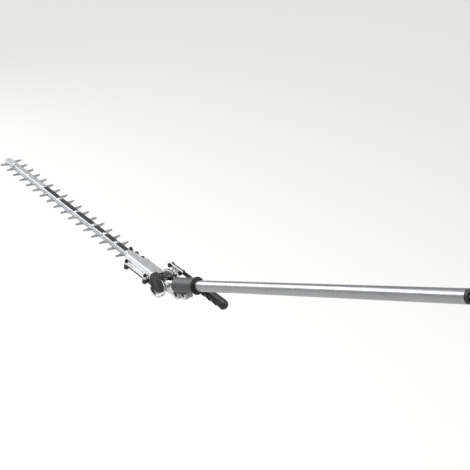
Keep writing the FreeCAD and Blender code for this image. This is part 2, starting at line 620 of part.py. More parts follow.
def make_bar_bolts():
    """Bolts through the bar, the sleeves that the knives slide on, and washers and nuts below."""
    bolts, sleeves, washers, nuts = [], [], [], []
    washer_high = f"({LOWER_LOW} - knife_gap)"
    washer_low = f"({washer_high} - washer_thickness)"
    nut_low = f"({washer_low} - nut_height)"
    rim = f"({GUIDE_HIGH} + 1)"
    for place in bolt_places():
        spot = (place, 0, 0)
        dome = cone("Z", "bolt_head_radius", "bolt_head_radius - 2", rim, f"{GUIDE_HIGH} + bolt_head", spot)
        bolts.append(fuse(rod("Z", "bolt_radius", f"{nut_low} - 1", rim, spot),
                          rod("Z", "bolt_head_radius", GUIDE_HIGH, rim, spot), dome))
        sleeves.append(ring("Z", "bolt_radius", "sleeve_radius", washer_high, GUIDE_LOW, spot))
        washers.append(ring("Z", "bolt_radius", "washer_radius", washer_low, washer_high, spot))
        nut = hexagon("nut_radius", nut_low, washer_low, spot)
        nuts.append(cut(nut, rod("Z", "bolt_radius", f"{nut_low} - 1", f"{washer_low} + 1", spot)))
    sub_part("bar_bolts", group(bolts), HEAD)
    sub_part("bolt_sleeves", group(sleeves), HEAD)
    sub_part("bar_washers", group(washers), HEAD)
    sub_part("bar_nuts", group(nuts), HEAD)


# ---- the gear case --------------------------------------------------------------------------------

def screws():
    """Where the case screws stand and how high their bosses are: two on the left, the rest on the right."""
    left = [("-left_screw_front", "-left_screw_side", "left_boss_top"),
            ("-left_screw_rear", "-left_screw_side", "left_boss_top")]
    right = [(f"({index} * right_screw_pitch - right_screw_front)", "right_screw_side", "right_boss_top")
             for index in range(SIZES["right_screw_count"])]
    return left + right


def nipple_spots():
    return [(x, "nipple_side") for x in ("(-crank_forward + nipple_inset)", "(-case_rear - nipple_inset)")]


LEFT_FLANGE = (("-left_screw_front - flange_half", "-left_screw_rear + flange_half"),
               ("-flange_reach", "-case_half_width + 1"))
RIGHT_FLANGE = (("-right_screw_front", "-front_step"), ("cavity_half_width + 0.6", "right_screw_side + 2"))
TUNNEL_RADIUS = "(output_radius + 5)"


def make_case_upper():
    """The upper casting: a ridge along the top, shoulders to the flanges, open below for the knives."""
    side, split = "case_half_width", "case_split"
    section = [(f"-{side}", split), (side, split), (side, "shoulder_right"), ("-ridge_right", "ridge_height"),
               ("-ridge_left", "ridge_height"), (f"-{side}", "shoulder_left")]
    shell = plate("YZ_Plane", section, "-case_front", "-case_rear")
    front = ("-case_front - 1", "-front_step")
    step = fuse(box(front, ("cavity_half_width + 0.6", f"{side} + 1"), ("right_boss_top", "ridge_height")),
                box(front, ("step_side", f"{side} + 1"), (f"{GUIDE_LOW} + roof_wall", "ridge_height")))
    flanges = [box(*LEFT_FLANGE, (split, "case_split + flange_half")),
               box(*RIGHT_FLANGE, (split, "right_boss_top"))]
    columns = [rod("Z", "boss_radius", split, top, (x, y, 0)) for x, y, top in screws()]
    hollow = box(("-case_front - 1", "-crank_forward + heel_length / 2 + stroke / 2 + 2"),
                 ("-cavity_half_width", "cavity_half_width"), ("case_split - 1", GUIDE_LOW))
    guide_wide = ("-guide_half_width", "guide_half_width")
    guide_seat = box(("-case_front - 1", f"-{GUIDE_REAR}"), guide_wide, (split, GUIDE_HIGH))
    tunnel = rod("X", TUNNEL_RADIUS, "-crank_forward", "-case_rear + 1")
    screw_room = []
    for x, y, top in screws():
        screw_room.append(rod("Z", "case_screw_radius", "0", f"{top} + 1", (x, y, 0)))
        screw_room.append(rod("Z", "case_screw_head + run_clearance", top, "ridge_height + 1", (x, y, 0)))
    sockets = [rod("Z", "nipple_radius", "shoulder_right - 4", "ridge_height", (x, y, 0))
               for x, y in nipple_spots()]
    body = fuse(cut(shell, step), *flanges, *columns)
    sub_part("gear_case_upper", cut(body, hollow, guide_seat, tunnel, *screw_room, *sockets), HEAD)


def make_case_lower():
    """The lower casting: a tub for the crank gear and a tunnel for the output shaft."""
    side, keel, split = "case_half_width", "case_keel", "case_split"
    section = [(f"-{side}", split), (f"-{side}", "-case_bilge"), (f"-{keel}", "-case_bottom"),
               (keel, "-case_bottom"), (side, "-case_bilge"), (side, split)]
    profile = [("-case_front", "-case_bottom / 2"), ("-crank_forward - crank_gear_radius", "-case_bottom"),
               ("-case_rear - 8", "-case_bottom"), ("-case_rear", "-case_bottom + 5"), ("-case_rear", split),
               ("-case_front", split)]
    shell = overlap_of(plate("YZ_Plane", section, "-case_front", "-case_rear"),
                       plate("XZ_Plane", profile, f"-{side}", side))
    flanges = [box(*area, ("case_split - flange_half", split)) for area in (LEFT_FLANGE, RIGHT_FLANGE)]
    bosses = [rod("Z", "boss_radius", "case_split - boss_depth", split, (x, y, 0)) for x, y, top in screws()]
    gear_low = "(-crank_gear_top - crank_gear_thickness)"
    centre = ("-crank_forward", 0, 0)
    tub = rod("Z", "crank_gear_radius + 1", f"{gear_low} - 0.5", f"{split} + 1", centre)
    seat = rod("Z", "bearing_radius", "-case_bottom + case_floor", "-crank_gear_top", centre)
    tunnel = rod("X", TUNNEL_RADIUS, "-crank_forward", "-case_rear + 1")
    holes = [rod("Z", "case_screw_radius", "case_split - boss_depth - 1", f"{split} + 1", (x, y, 0))
             for x, y, top in screws()]
    sub_part("gear_case_lower", cut(fuse(shell, *flanges, *bosses), tub, seat, tunnel, *holes), HEAD)


def make_case_screws():
    """Socket-head screws that hold the two castings together."""
    made = []
    for x, y, top in screws():
        spot = (x, y, 0)
        shank = rod("Z", "case_screw_radius", "case_split - boss_depth", f"{top} + 1", spot)
        head = rod("Z", "case_screw_head", top, f"{top} + case_head_height", spot)
        socket = rod("Z", "case_screw_radius - 0.5", f"{top} + 1.5", f"{top} + case_head_height + 1", spot)
        made.append(cut(fuse(shank, head), socket))
    sub_part("case_screws", group(made), HEAD)


def make_grease_nipples():
    """Two grease nipples on the case's right shoulder."""
    nipples = []
    base = "(shoulder_right + 2)"
    for x, y in nipple_spots():
        stem = rod("Z", "nipple_radius", "shoulder_right - 4", base, (x, y, 0))
        neck = rod("Z", "nipple_radius - 1", base, f"{base} + 3", (x, y, 0))
        nipples.append(fuse(stem, neck, ball("nipple_radius - 0.5", (x, y, f"{base} + 3"))))
    sub_part("grease_nipples", group(nipples), HEAD)


# ---- the gear train -------------------------------------------------------------------------------

AXES = {"X": (1, 0, 0), "Y": (0, 1, 0), "Z": (0, 0, 1)}


def groove(along, radius, low, high, turn, at):
    """A square tool that cuts one tooth gap, turned about a gear's axis, which passes through at."""
    across = ("-groove_width / 2", "groove_width / 2")
    along_it, out = (f"({low}) - 1", f"({high}) + 1"), ("0", "groove_depth * 2")
    sides = {"Z": (out, across, along_it), "X": (along_it, across, out), "Y": (across, along_it, out)}
    tool = box(*sides[along])
    tool.Placement.Rotation = FreeCAD.Rotation(FreeCAD.Vector(*AXES[along]), turn)
    cosine, sine = f"cos({turn}deg)", f"sin({turn}deg)"
    floor, half = f"(({radius}) - groove_depth)", "groove_width / 2"
    if along == "Z":
        locate(tool, (f"{at[0]} + {floor} * {cosine} + {half} * {sine}",
                      f"{at[1]} + {floor} * {sine} - {half} * {cosine}", along_it[0]))
    elif along == "X":
        locate(tool, (along_it[0], f"{at[1]} - {floor} * {sine} - {half} * {cosine}",
                      f"{at[2]} + {floor} * {cosine} - {half} * {sine}"))
    else:
        locate(tool, (f"{at[0]} + {floor} * {sine} - {half} * {cosine}", along_it[0],
                      f"{at[2]} + {floor} * {cosine} + {half} * {sine}"))
    return tool


def toothed(along, blank, radius, low, high, count, at=(0, 0, 0)):
    """Cuts evenly spaced tooth gaps into a bevel blank."""
    turns = [360.0 * index / count for index in range(count)]
    return cut(blank, *[groove(along, radius, low, high, turn, at) for turn in turns])


TEETH = {"input_bevel": 11, "cross_bevel": 18, "output_bevel": 11, "crank_pinion": 10, "crank_gear": 28}
OUTPUT_FRONT = "(-crank_forward + crank_flange_radius + 1)"


def bored_cone(low_radius, high_radius, low, high, bore):
    """A bevel blank on the X axis with a bore through it."""
    return cut(cone("X", low_radius, high_radius, low, high), rod("X", bore, f"{low} - 1", f"{high} + 1"))


def make_shaft_gears():
    """The input bevel on the drive shaft and the cross bevel that turns on the hinge axis."""
    start, radius = "drive_start", "input_gear_radius"
    rear = f"({start} + input_gear_length)"
    blank = bored_cone(f"{radius} - 2", radius, start, rear, "drive_radius")
    sub_part("input_bevel", toothed("X", blank, radius, start, rear, TEETH["input_bevel"]), SHAFT)
    low = "(-eye_left + eye_thickness + gear_clearance)"
    high, wide = f"({low} + cross_gear_width - 3)", "cross_gear_radius"
    blank = fuse(rod("Y", wide, low, f"{low} + 1"), cone("Y", wide, f"{wide} - 2", f"{low} + 1", high),
                 rod("Y", "cross_shaft_radius", low, "eye_right - eye_thickness - gear_clearance"))
    sub_part("cross_bevel", toothed("Y", blank, wide, low, high, TEETH["cross_bevel"]), SHAFT)


def make_output_train():
    """The output shaft in the gear case with a bevel at each end, and its two bearings."""
    front, back, bore = OUTPUT_FRONT, "(-drive_start)", "output_radius"
    sub_part("output_shaft", rod("X", bore, front, back), HEAD)
    rear = f"({front} + pinion_length)"
    blank = bored_cone("pinion_radius - 0.8", "pinion_radius", front, rear, bore)
    sub_part("crank_pinion", toothed("X", blank, "pinion_radius", front, rear, TEETH["crank_pinion"]), HEAD)
    face = f"({back} - input_gear_length)"
    blank = bored_cone("input_gear_radius", "input_gear_radius - 2", face, back, bore)
    bevel = toothed("X", blank, "input_gear_radius", face, back, TEETH["output_bevel"])
    sub_part("output_bevel", bevel, HEAD)
    first = f"({rear} + 18)"
    rings = [ring("X", f"{bore} + fit_clearance", TUNNEL_RADIUS, place, f"{place} + bearing_width - 1")
             for place in (first, f"({first} + bearing_gap)")]
    sub_part("output_bearings", group(rings), HEAD)


def make_crank():
    """The crank gear: a bevel rim, a flange with two pins half a stroke off centre, and a stub below."""
    centre, wide = ("-crank_forward", "0", "0"), "crank_gear_radius"
    top, bottom = "(-crank_gear_top)", "(-crank_gear_top - crank_gear_thickness)"
    flange_low = "(crank_flange_top - 2.5)"
    rim = cone("Z", wide, f"{wide} - 2", f"{bottom} + 2", top, centre)
    base = rod("Z", wide, bottom, f"{bottom} + 2", centre)
    column = rod("Z", "crank_stub_radius + 3", bottom, flange_low, centre)
    flange = rod("Z", "crank_flange_radius", flange_low, "crank_flange_top", centre)
    stub = rod("Z", "crank_stub_radius", "-case_bottom + case_floor + run_clearance", bottom, centre)
    pins = []
    for sign, height in (("-", f"{UPPER_HIGH} - 0.2"), ("+", f"{LOWER_HIGH} - 0.2")):
        spot = (f"-crank_forward {sign} stroke / 2", 0, 0)
        pins.append(rod("Z", "crank_pin_radius", "crank_flange_top - 1", height, spot))
    blank = fuse(rim, base, column, flange, stub, *pins)
    sub_part("crank_gear", toothed("Z", blank, wide, f"{bottom} + 2", top, TEETH["crank_gear"], centre), HEAD)
    bearing = ring("Z", "crank_stub_radius + fit_clearance", "bearing_radius", "-case_bottom + case_floor",
                   f"{bottom} - run_clearance", centre)
    sub_part("crank_bearing", bearing, HEAD)


# ---- the adjusting handle -------------------------------------------------------------------------

BRACKET_OUTER = "(bracket_inner + bracket_thickness)"
ARM_OUTER = f"({BRACKET_OUTER} + arm_thickness)"
ARM_HALF = "(bracket_height / 2 - arm_margin)"
TANG_END = "(grip_start + grip_length - tang_inset)"
KNOBS = ("-knob_front", "knob_rear")


def knob_holes():
    return [rod("Y", "case_screw_radius", "bracket_inner - 1", f"{ARM_OUTER} + 1", (place, 0, "knob_level"))
            for place in KNOBS]


def make_handle():
    """The bracket on the right cheek and the arm bolted to it."""
    half, plate_side = "(bracket_height / 2)", ("bracket_inner", BRACKET_OUTER)
    bar = box(KNOBS, plate_side, (f"knob_level - {half}", f"knob_level + {half}"))
    ends = [rod("Y", half, *plate_side, (place, 0, "knob_level")) for place in KNOBS]
    leg = box(("-14", "12"), plate_side, ("cheek_height / 4", "knob_level"))
    foot = box(("-14", "12"), (CHEEK_OUTER, "bracket_inner"),
               ("cheek_height / 2 - bracket_foot", "cheek_height / 2 + 4"))
    opening = rod("Y", "pin_head_radius + 1", f"{CHEEK_OUTER} - 1", f"{CHEEK_OUTER} + pin_head")
    sub_part("handle_bracket", cut(fuse(bar, leg, foot, *ends), opening, *knob_holes()), HEAD)
    arm_height = (f"knob_level - {ARM_HALF}", f"knob_level + {ARM_HALF}")
    arm = box(("-knob_front", TANG_END), (BRACKET_OUTER, ARM_OUTER), arm_height)
    nose = rod("Y", ARM_HALF, BRACKET_OUTER, ARM_OUTER, ("-knob_front", 0, "knob_level"))
    sub_part("handle_arm", cut(fuse(arm, nose), *knob_holes()), HEAD)


def make_bracket_bolts():
    """Two round-headed bolts that hold the arm on the bracket."""
    bolts = []
    for place in KNOBS:
        spot = (place, 0, "knob_level")
        shank = rod("Y", "case_screw_radius", "bracket_inner - 1", f"{ARM_OUTER} + 3", spot)
        knob = rod("Y", "knob_radius", "bracket_inner - knob_thickness", "bracket_inner", spot)
        nut = rod("Y", "case_screw_head", ARM_OUTER, f"{ARM_OUTER} + 3", spot)
        bolts.append(fuse(shank, knob, nut))
    sub_part("bracket_bolts", group(bolts), HEAD)


def make_grip():
    """The moulded grip: scallops for the fingers below and core-saving pockets on the inner side."""
    side, level, radius = "grip_side", "grip_level", "grip_radius"
    end = f"(grip_start + grip_length - {radius})"
    core = fuse(rod("X", radius, "grip_start", end, (0, side, level)), ball(radius, (end, side, level)))
    tools = []
    for index in range(SIZES["scallop_count"]):
        place = f"(grip_start + 14 + {index} * scallop_pitch)"
        spot = (place, 0, f"{level} - {radius} + scallop_depth - scallop_radius")
        tools.append(rod("Y", "scallop_radius", f"{side} - 20", f"{side} + 20", spot))
    inner = f"({side} - {radius})"
    for index in range(SIZES["pocket_count"]):
        place = f"(grip_start + 18 + {index} * scallop_pitch)"
        tools.append(box((place, f"{place} + pocket_length"), (f"{inner} - 1", f"{inner} + pocket_depth"),
                         (f"{level} - pocket_height / 2 - 1", f"{level} + pocket_height / 2 - 1")))
    tools.append(box(("grip_start - 1", TANG_END), (BRACKET_OUTER, ARM_OUTER),
                     (f"knob_level - {ARM_HALF}", f"knob_level + {ARM_HALF}")))
    sub_part("handle_grip", cut(core, *tools), HEAD)


def check_and_export():
    """Stops on a failed object or a bad shape, then writes one STEP file for each sub-part."""
    doc.recompute()
    for thing in doc.Objects:
        if "Invalid" in thing.State or "Error" in thing.State:
            raise RuntimeError(f"{thing.Label} did not compute: {thing.State}")
    for thing in MADE:
        if thing.Shape.isNull() or not thing.Shape.isValid() or not thing.Shape.Solids:
            raise RuntimeError(f"{thing.Label} has no valid solid")
    os.makedirs("parts", exist_ok=True)
    for thing in MADE:
        thing.Shape.exportStep(f"parts/{thing.Label}.step")
        size = thing.Shape.BoundBox
        print(f"{thing.Label}: {len(thing.Shape.Solids)} solids, {thing.Shape.Volume:.0f} mm3, "
              f"{size.XLength:.1f} x {size.YLength:.1f} x {size.ZLength:.1f}")


make_tube()
make_end_sleeve()
make_lock_button()
make_liner_bushes()
make_drive_shaft()
make_neck()
make_neck_bearings()
make_collar()
make_clamp_screws()
make_collar_ring()
make_hinge_pins()
make_lock_lever()
make_quadrant()
make_cheeks()
make_joint_cover()
make_gear_shroud()
make_knife("upper_knife", UPPER_LOW, UPPER_HIGH)
make_knife("lower_knife", LOWER_LOW, LOWER_HIGH)
make_guide()
make_bar_bolts()
make_case_upper()
make_case_lower()
make_case_screws()
make_grease_nipples()
make_shaft_gears()
make_output_train()
make_crank()
make_handle()
make_bracket_bolts()
make_grip()
check_and_export()
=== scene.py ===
"""Looks of a pole hedge trimmer attachment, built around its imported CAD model.

The attachment is a drawn aluminium tube with a tilting die-cast gear head, a double-sided reciprocating
cutter bar and a moulded adjusting handle. Every length is in metres in the CAD row's own frame; the helper
frames below let each class work in millimetres along the bar (head frame) or along the tube (shaft frame).
"""

from __future__ import annotations

import json
import logging
import math
from dataclasses import dataclass, field
from enum import Enum

import bmesh
import bpy
import numpy as np
from mathutils import Matrix, Vector

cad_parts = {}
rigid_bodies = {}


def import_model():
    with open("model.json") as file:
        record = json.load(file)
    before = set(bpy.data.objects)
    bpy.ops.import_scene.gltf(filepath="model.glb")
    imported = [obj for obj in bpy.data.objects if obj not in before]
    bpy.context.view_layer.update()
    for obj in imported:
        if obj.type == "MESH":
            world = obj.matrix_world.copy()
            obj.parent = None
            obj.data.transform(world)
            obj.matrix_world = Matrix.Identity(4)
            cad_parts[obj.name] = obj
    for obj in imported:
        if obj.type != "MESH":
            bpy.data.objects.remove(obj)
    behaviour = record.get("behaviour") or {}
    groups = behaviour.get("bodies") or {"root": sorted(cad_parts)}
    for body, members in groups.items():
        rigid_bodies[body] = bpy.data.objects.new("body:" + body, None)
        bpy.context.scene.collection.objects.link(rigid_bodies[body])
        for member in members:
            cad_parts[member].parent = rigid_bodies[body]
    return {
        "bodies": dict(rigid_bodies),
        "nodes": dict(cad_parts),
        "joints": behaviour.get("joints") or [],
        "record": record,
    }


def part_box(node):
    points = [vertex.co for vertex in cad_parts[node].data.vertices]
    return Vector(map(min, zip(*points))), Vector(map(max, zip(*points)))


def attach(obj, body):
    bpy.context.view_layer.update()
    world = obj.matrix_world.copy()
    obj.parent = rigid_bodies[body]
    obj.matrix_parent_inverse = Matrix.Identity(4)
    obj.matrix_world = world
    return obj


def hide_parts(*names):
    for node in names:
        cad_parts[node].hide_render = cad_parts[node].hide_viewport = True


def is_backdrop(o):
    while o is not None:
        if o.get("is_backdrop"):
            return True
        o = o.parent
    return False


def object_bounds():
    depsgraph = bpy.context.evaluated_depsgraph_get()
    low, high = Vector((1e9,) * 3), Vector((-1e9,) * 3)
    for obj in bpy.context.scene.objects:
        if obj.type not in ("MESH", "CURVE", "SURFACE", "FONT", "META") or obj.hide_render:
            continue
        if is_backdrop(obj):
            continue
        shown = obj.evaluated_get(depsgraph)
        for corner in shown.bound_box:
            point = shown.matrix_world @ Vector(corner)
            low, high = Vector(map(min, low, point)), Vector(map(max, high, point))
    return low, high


LOG = logging.getLogger("pole_trimmer")
MM = 0.001


# ---- frames ---------------------------------------------------------------------------------------


@dataclass(frozen=True)
class LocalFrame:
    """A right-handed frame given by its origin in metres and its three unit axes.

    Args:
        origin: the frame's origin in the row frame, in metres.
        axes: a 3 by 3 array whose rows are the frame's X, Y and Z in the row frame.
    """

    origin: np.ndarray
    axes: np.ndarray

    def to_row(self, points: np.ndarray) -> np.ndarray:
        """Returns points given in this frame's millimetres as row-frame metres."""
        return self.origin + np.asarray(points, dtype=float) * MM @ self.axes


def frames_of(record: dict) -> tuple[LocalFrame, LocalFrame]:
    """Works out the head frame and the shaft frame from the record's joints.

    Args:
        record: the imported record.

    Returns:
        The head frame, with X along the level bar, and the shaft frame, with X along the tube. Both start
        at the tilt hinge and share Y.
    """
    joints = {joint["name"]: joint for joint in record["behaviour"]["joints"]}
    hinge = np.array(joints["head_tilt"]["pos_m"])
    along = np.array(joints["drive_spin"]["axis"])
    side = np.array([0.0, 1.0, 0.0])
    head = LocalFrame(hinge, np.eye(3))
    shaft = LocalFrame(hinge, np.array([along, side, np.cross(along, side)]))
    return head, shaft


# ---- finishes -------------------------------------------------------------------------------------


def linear(code: str) -> tuple[float, float, float, float]:
    """Turns an sRGB hex colour into the linear colour that the shaders take.

    Args:
        code: six hex digits.

    Returns:
        Linear red, green, blue and an alpha of one.
    """
    parts = np.array([int(code[i:i + 2], 16) for i in (0, 2, 4)]) / 255.0
    values = np.where(parts <= 0.04045, parts / 12.92, ((parts + 0.055) / 1.055) ** 2.4)
    return (*map(float, values), 1.0)


def add_node(tree: bpy.types.NodeTree, kind: str, settings: dict | None = None,
             links: dict | None = None) -> bpy.types.Node:
    """Adds a node, sets it up and links its inputs.

    Args:
        tree: the node tree.
        kind: the node's type name.
        settings: values by input socket name, or by property name.
        links: output sockets by input socket name or number.

    Returns:
        The node.
    """
    node = tree.nodes.new(kind)
    for key, value in (settings or {}).items():
        if key in node.inputs:
            node.inputs[key].default_value = value
        else:
            setattr(node, key, value)
    for key, socket in (links or {}).items():
        tree.links.new(socket, node.inputs[key])
    return node


class Run(Enum):
    """The direction in which a finish's marks run, as the stretch of its pattern along X, Y and Z."""

    NONE = (1.0, 1.0, 1.0)
    ALONG_BAR = (0.03, 1.0, 1.0)
    ACROSS_BAR = (1.0, 0.04, 1.0)


@dataclass(frozen=True)
class Finish:
    """A surface finish: a base colour that varies in patches, and a grain that roughens and lifts it.

    Args:
        name: the material's name.
        colour: the sRGB hex colour of most of the surface.
        shade: the sRGB hex colour of its darker patches.
        metallic: 1 for bare metal and 0 for a coating or a plastic.
        roughness: the middle roughness.
        spread: how far the roughness swings either way with the patches.
        grain: the size of the grain in millimetres.
        patch: the size of the patches in millimetres.
        lift: the height of the grain in millimetres.
        run: the direction of the marks.
        tilt: the turn of the marks about Y in degrees.
        wear: how much lighter the outer edges are, from 0 to 1.
        worn: the sRGB hex colour of a worn edge.
    """

    name: str
    colour: str
    shade: str
    metallic: float
    roughness: float
    spread: float = 0.06
    grain: float = 0.6
    patch: float = 18.0
    lift: float = 0.02
    run: Run = Run.NONE
    tilt: float = 0.0
    wear: float = 0.0
    worn: str = "C4C5C6"

    def make(self) -> bpy.types.Material:
        """Builds the material's nodes, all on Object coordinates."""
        material = bpy.data.materials.new(self.name)
        material.use_nodes = True
        tree = material.node_tree
        shader = tree.nodes["Principled BSDF"]
        place = add_node(tree, "ShaderNodeTexCoord")
        turn = add_node(tree, "ShaderNodeMapping", {"Rotation": (0.0, math.radians(self.tilt), 0.0)},
                        {"Vector": place.outputs["Object"]})
        stretch = add_node(tree, "ShaderNodeMapping", {"Scale": self.run.value},
                           {"Vector": turn.outputs["Vector"]})
        patches = add_node(tree, "ShaderNodeTexNoise",
                           {"Scale": 1.0 / (self.patch * MM), "Detail": 4.0, "Roughness": 0.55},
                           {"Vector": turn.outputs["Vector"]})
        grain = add_node(tree, "ShaderNodeTexNoise",
                         {"Scale": 1.0 / (self.grain * MM), "Detail": 3.0, "Roughness": 0.6},
                         {"Vector": stretch.outputs["Vector"]})
        blend = add_node(tree, "ShaderNodeMapRange", {"From Min": 0.35, "From Max": 0.65},
                         {"Value": patches.outputs["Fac"]})
        tint = add_node(tree, "ShaderNodeMix", {"data_type": "RGBA"},
                        {"Factor": blend.outputs["Result"]})
        tint.inputs[6].default_value = linear(self.colour)
        tint.inputs[7].default_value = linear(self.shade)
        colour = tint.outputs[2]
        if self.wear:
            shape = add_node(tree, "ShaderNodeNewGeometry")
            edge = add_node(tree, "ShaderNodeMapRange",
                            {"From Min": 0.54, "From Max": 0.62, "To Max": self.wear},
                            {"Value": shape.outputs["Pointiness"]})
            rub = add_node(tree, "ShaderNodeMix", {"data_type": "RGBA"}, {"Factor": edge.outputs["Result"]})
            rub.inputs[7].default_value = linear(self.worn)
            tree.links.new(colour, rub.inputs[6])
            colour = rub.outputs[2]
        gloss = add_node(tree, "ShaderNodeMapRange",
                         {"From Min": 0.3, "From Max": 0.7, "To Min": self.roughness - self.spread,
                          "To Max": self.roughness + self.spread},
                         {"Value": grain.outputs["Fac"]})
        bump = add_node(tree, "ShaderNodeBump", {"Strength": 1.0, "Distance": self.lift * MM},
                        {"Height": grain.outputs["Fac"]})
        tree.links.new(colour, shader.inputs["Base Color"])
        tree.links.new(gloss.outputs["Result"], shader.inputs["Roughness"])
        tree.links.new(bump.outputs["Normal"], shader.inputs["Normal"])
        shader.inputs["Metallic"].default_value = self.metallic
        return material


# Drawn aluminium tube, satin anodised: the die leaves hair lines along it, so light spreads across them.
DRAWN_TUBE = Finish("drawn_satin_aluminium", "9C9D9F", "959698", 1.0, 0.28, 0.05, 0.7, 60.0, 0.006,
                    Run.ALONG_BAR, 30.0)
# Die-cast aluminium, tumbled after casting: a fine sandy skin with slightly duller patches.
DIE_CAST = Finish("die_cast_aluminium", "CDCECF", "BFC0C2", 1.0, 0.42, 0.07, 0.9, 16.0, 0.03, wear=0.35)
# Polished die casting on the neck and the hinge cheek, buffed brighter than the case.
BUFFED_CAST = Finish("buffed_cast_aluminium", "D8D9DA", "C4C5C7", 1.0, 0.3, 0.06, 0.8, 14.0, 0.015, wear=0.3)
# Hardened blade steel, ground across the knife: short scratches and a cold grey tone.
GROUND_STEEL = Finish("ground_blade_steel", "ABADB0", "96989B", 1.0, 0.36, 0.1, 0.5, 12.0, 0.01,
                      Run.ACROSS_BAR)
# Cold-rolled guide strip, brushed along its length.
BRUSHED_STEEL = Finish("brushed_strip_steel", "DCDDDE", "CECFD1", 1.0, 0.34, 0.08, 0.5, 25.0, 0.01,
                       Run.ALONG_BAR)
# Bright zinc plate on bolts, nuts and washers: smooth, with faint cloudy passivation.
ZINC_PLATE = Finish("bright_zinc_plate", "BCBEC0", "A8AAA6", 1.0, 0.3, 0.08, 0.8, 4.0, 0.008, wear=0.3)
# Oiled black oxide on high-tensile screws: dark, a soft sheen, greyer where a tool has touched it.
BLACK_OXIDE = Finish("black_oxide_steel", "161718", "101112", 0.6, 0.42, 0.08, 0.6, 4.0, 0.01, wear=0.3,
                     worn="6A6C6E")
# Dark grey powder coat on the clamp collar: slightly orange-peeled, worn to grey at the edges.
POWDER_COAT = Finish("dark_powder_coat", "2F3133", "28292B", 0.0, 0.45, 0.06, 1.4, 22.0, 0.03, wear=0.25,
                     worn="5A5C5E")
# Lower casting painted dark grey to stand for the shade that falls under the case's flange, duller than the
# collar.
SHADED_LOWER_CAST = Finish("lower_casting_painted_shade", "2A2B2D", "222325", 0.2, 0.5, 0.06, 0.9, 16.0, 0.03, wear=0.25,
                     worn="66686A")
# Glass-filled nylon moulded in a spark-eroded tool: near black, with a fine leathery grain.
MOULDED_NYLON = Finish("spark_textured_nylon", "101112", "0B0C0C", 0.0, 0.5, 0.06, 0.7, 12.0, 0.035)
# Smooth moulded nylon of the handle, handled enough to shine a little.
HANDLE_NYLON = Finish("handled_nylon", "18191A", "121313", 0.0, 0.38, 0.06, 0.9, 20.0, 0.02)
# Nitrile rubber of the seal and the liner bushes: matt and soft.
NITRILE = Finish("nitrile_rubber", "0E0E0F", "0A0A0B", 0.0, 0.7, 0.05, 0.8, 9.0, 0.02)
# Oil-filled sintered bronze: open pores, warm and dull.
SINTERED_BRONZE = Finish("sintered_bronze", "9A7144", "835D36", 1.0, 0.5, 0.08, 0.5, 5.0, 0.02)
# Turned and hardened alloy steel of shafts, bearings and bevels.
TURNED_STEEL = Finish("turned_alloy_steel", "8F9194", "7C7E81", 1.0, 0.3, 0.06, 0.5, 8.0, 0.008)
# Acetal slide strips under the guide bar: black, waxy and smooth.
ACETAL = Finish("black_acetal", "141516", "101111", 0.0, 0.5, 0.05, 1.0, 15.0, 0.01)

NODE_FINISH: dict[str, Finish] = {
    "shaft_tube": DRAWN_TUBE, "end_sleeve": MOULDED_NYLON, "end_bush": SINTERED_BRONZE,
    "liner_bushes": NITRILE, "neck_casting": BUFFED_CAST, "neck_bearings": TURNED_STEEL,
    "clamp_collar": POWDER_COAT, "clamp_screws": BLACK_OXIDE, "clamp_nuts": ZINC_PLATE,
    "collar_ring": MOULDED_NYLON, "hinge_pins": BLACK_OXIDE, "lever_pin": ZINC_PLATE,
    "drive_shaft": TURNED_STEEL, "input_bevel": TURNED_STEEL, "lock_lever": MOULDED_NYLON,
    "lock_button": ZINC_PLATE, "cross_bevel": TURNED_STEEL, "output_shaft": TURNED_STEEL,
    "output_bevel": TURNED_STEEL, "crank_pinion": TURNED_STEEL, "crank_gear": TURNED_STEEL,
    "upper_knife": GROUND_STEEL, "lower_knife": GROUND_STEEL, "index_quadrant": TURNED_STEEL,
    "cheek_left": BUFFED_CAST, "cheek_right": DIE_CAST, "joint_seal": NITRILE, "joint_cover": MOULDED_NYLON,
    "gear_shroud": DIE_CAST, "guide_bar": BRUSHED_STEEL, "tip_plate": BRUSHED_STEEL, "wear_strips": ACETAL,
    "bar_bolts": ZINC_PLATE, "bolt_sleeves": TURNED_STEEL, "bar_washers": ZINC_PLATE,
    # gear_case_lower takes the dark grey painted shade of the flange's underside.
    "bar_nuts": ZINC_PLATE, "gear_case_upper": DIE_CAST, "gear_case_lower": SHADED_LOWER_CAST,
    "case_screws": BLACK_OXIDE, "grease_nipples": ZINC_PLATE, "output_bearings": TURNED_STEEL,
    "crank_bearing": TURNED_STEEL, "handle_bracket": DIE_CAST, "handle_arm": BLACK_OXIDE,
    "bracket_bolts": BLACK_OXIDE, "handle_grip": HANDLE_NYLON,
}


@dataclass
class Paintbox:
    """Makes each finish once and hands it out."""

    made: dict[str, bpy.types.Material] = field(default_factory=dict)

    def give(self, finish: Finish) -> bpy.types.Material:
        """Returns the finish's material, made the first time it is asked for."""
        if finish.name not in self.made:
            self.made[finish.name] = finish.make()
        return self.made[finish.name]

    def coat(self, piece: bpy.types.Object, finish: Finish) -> None:
        """Puts one finish on every material slot of an object."""
        material = self.give(finish)
        if not piece.material_slots:
            piece.data.materials.append(material)
        for place in piece.material_slots:
            place.material = material


# ---- surfaces -------------------------------------------------------------------------------------


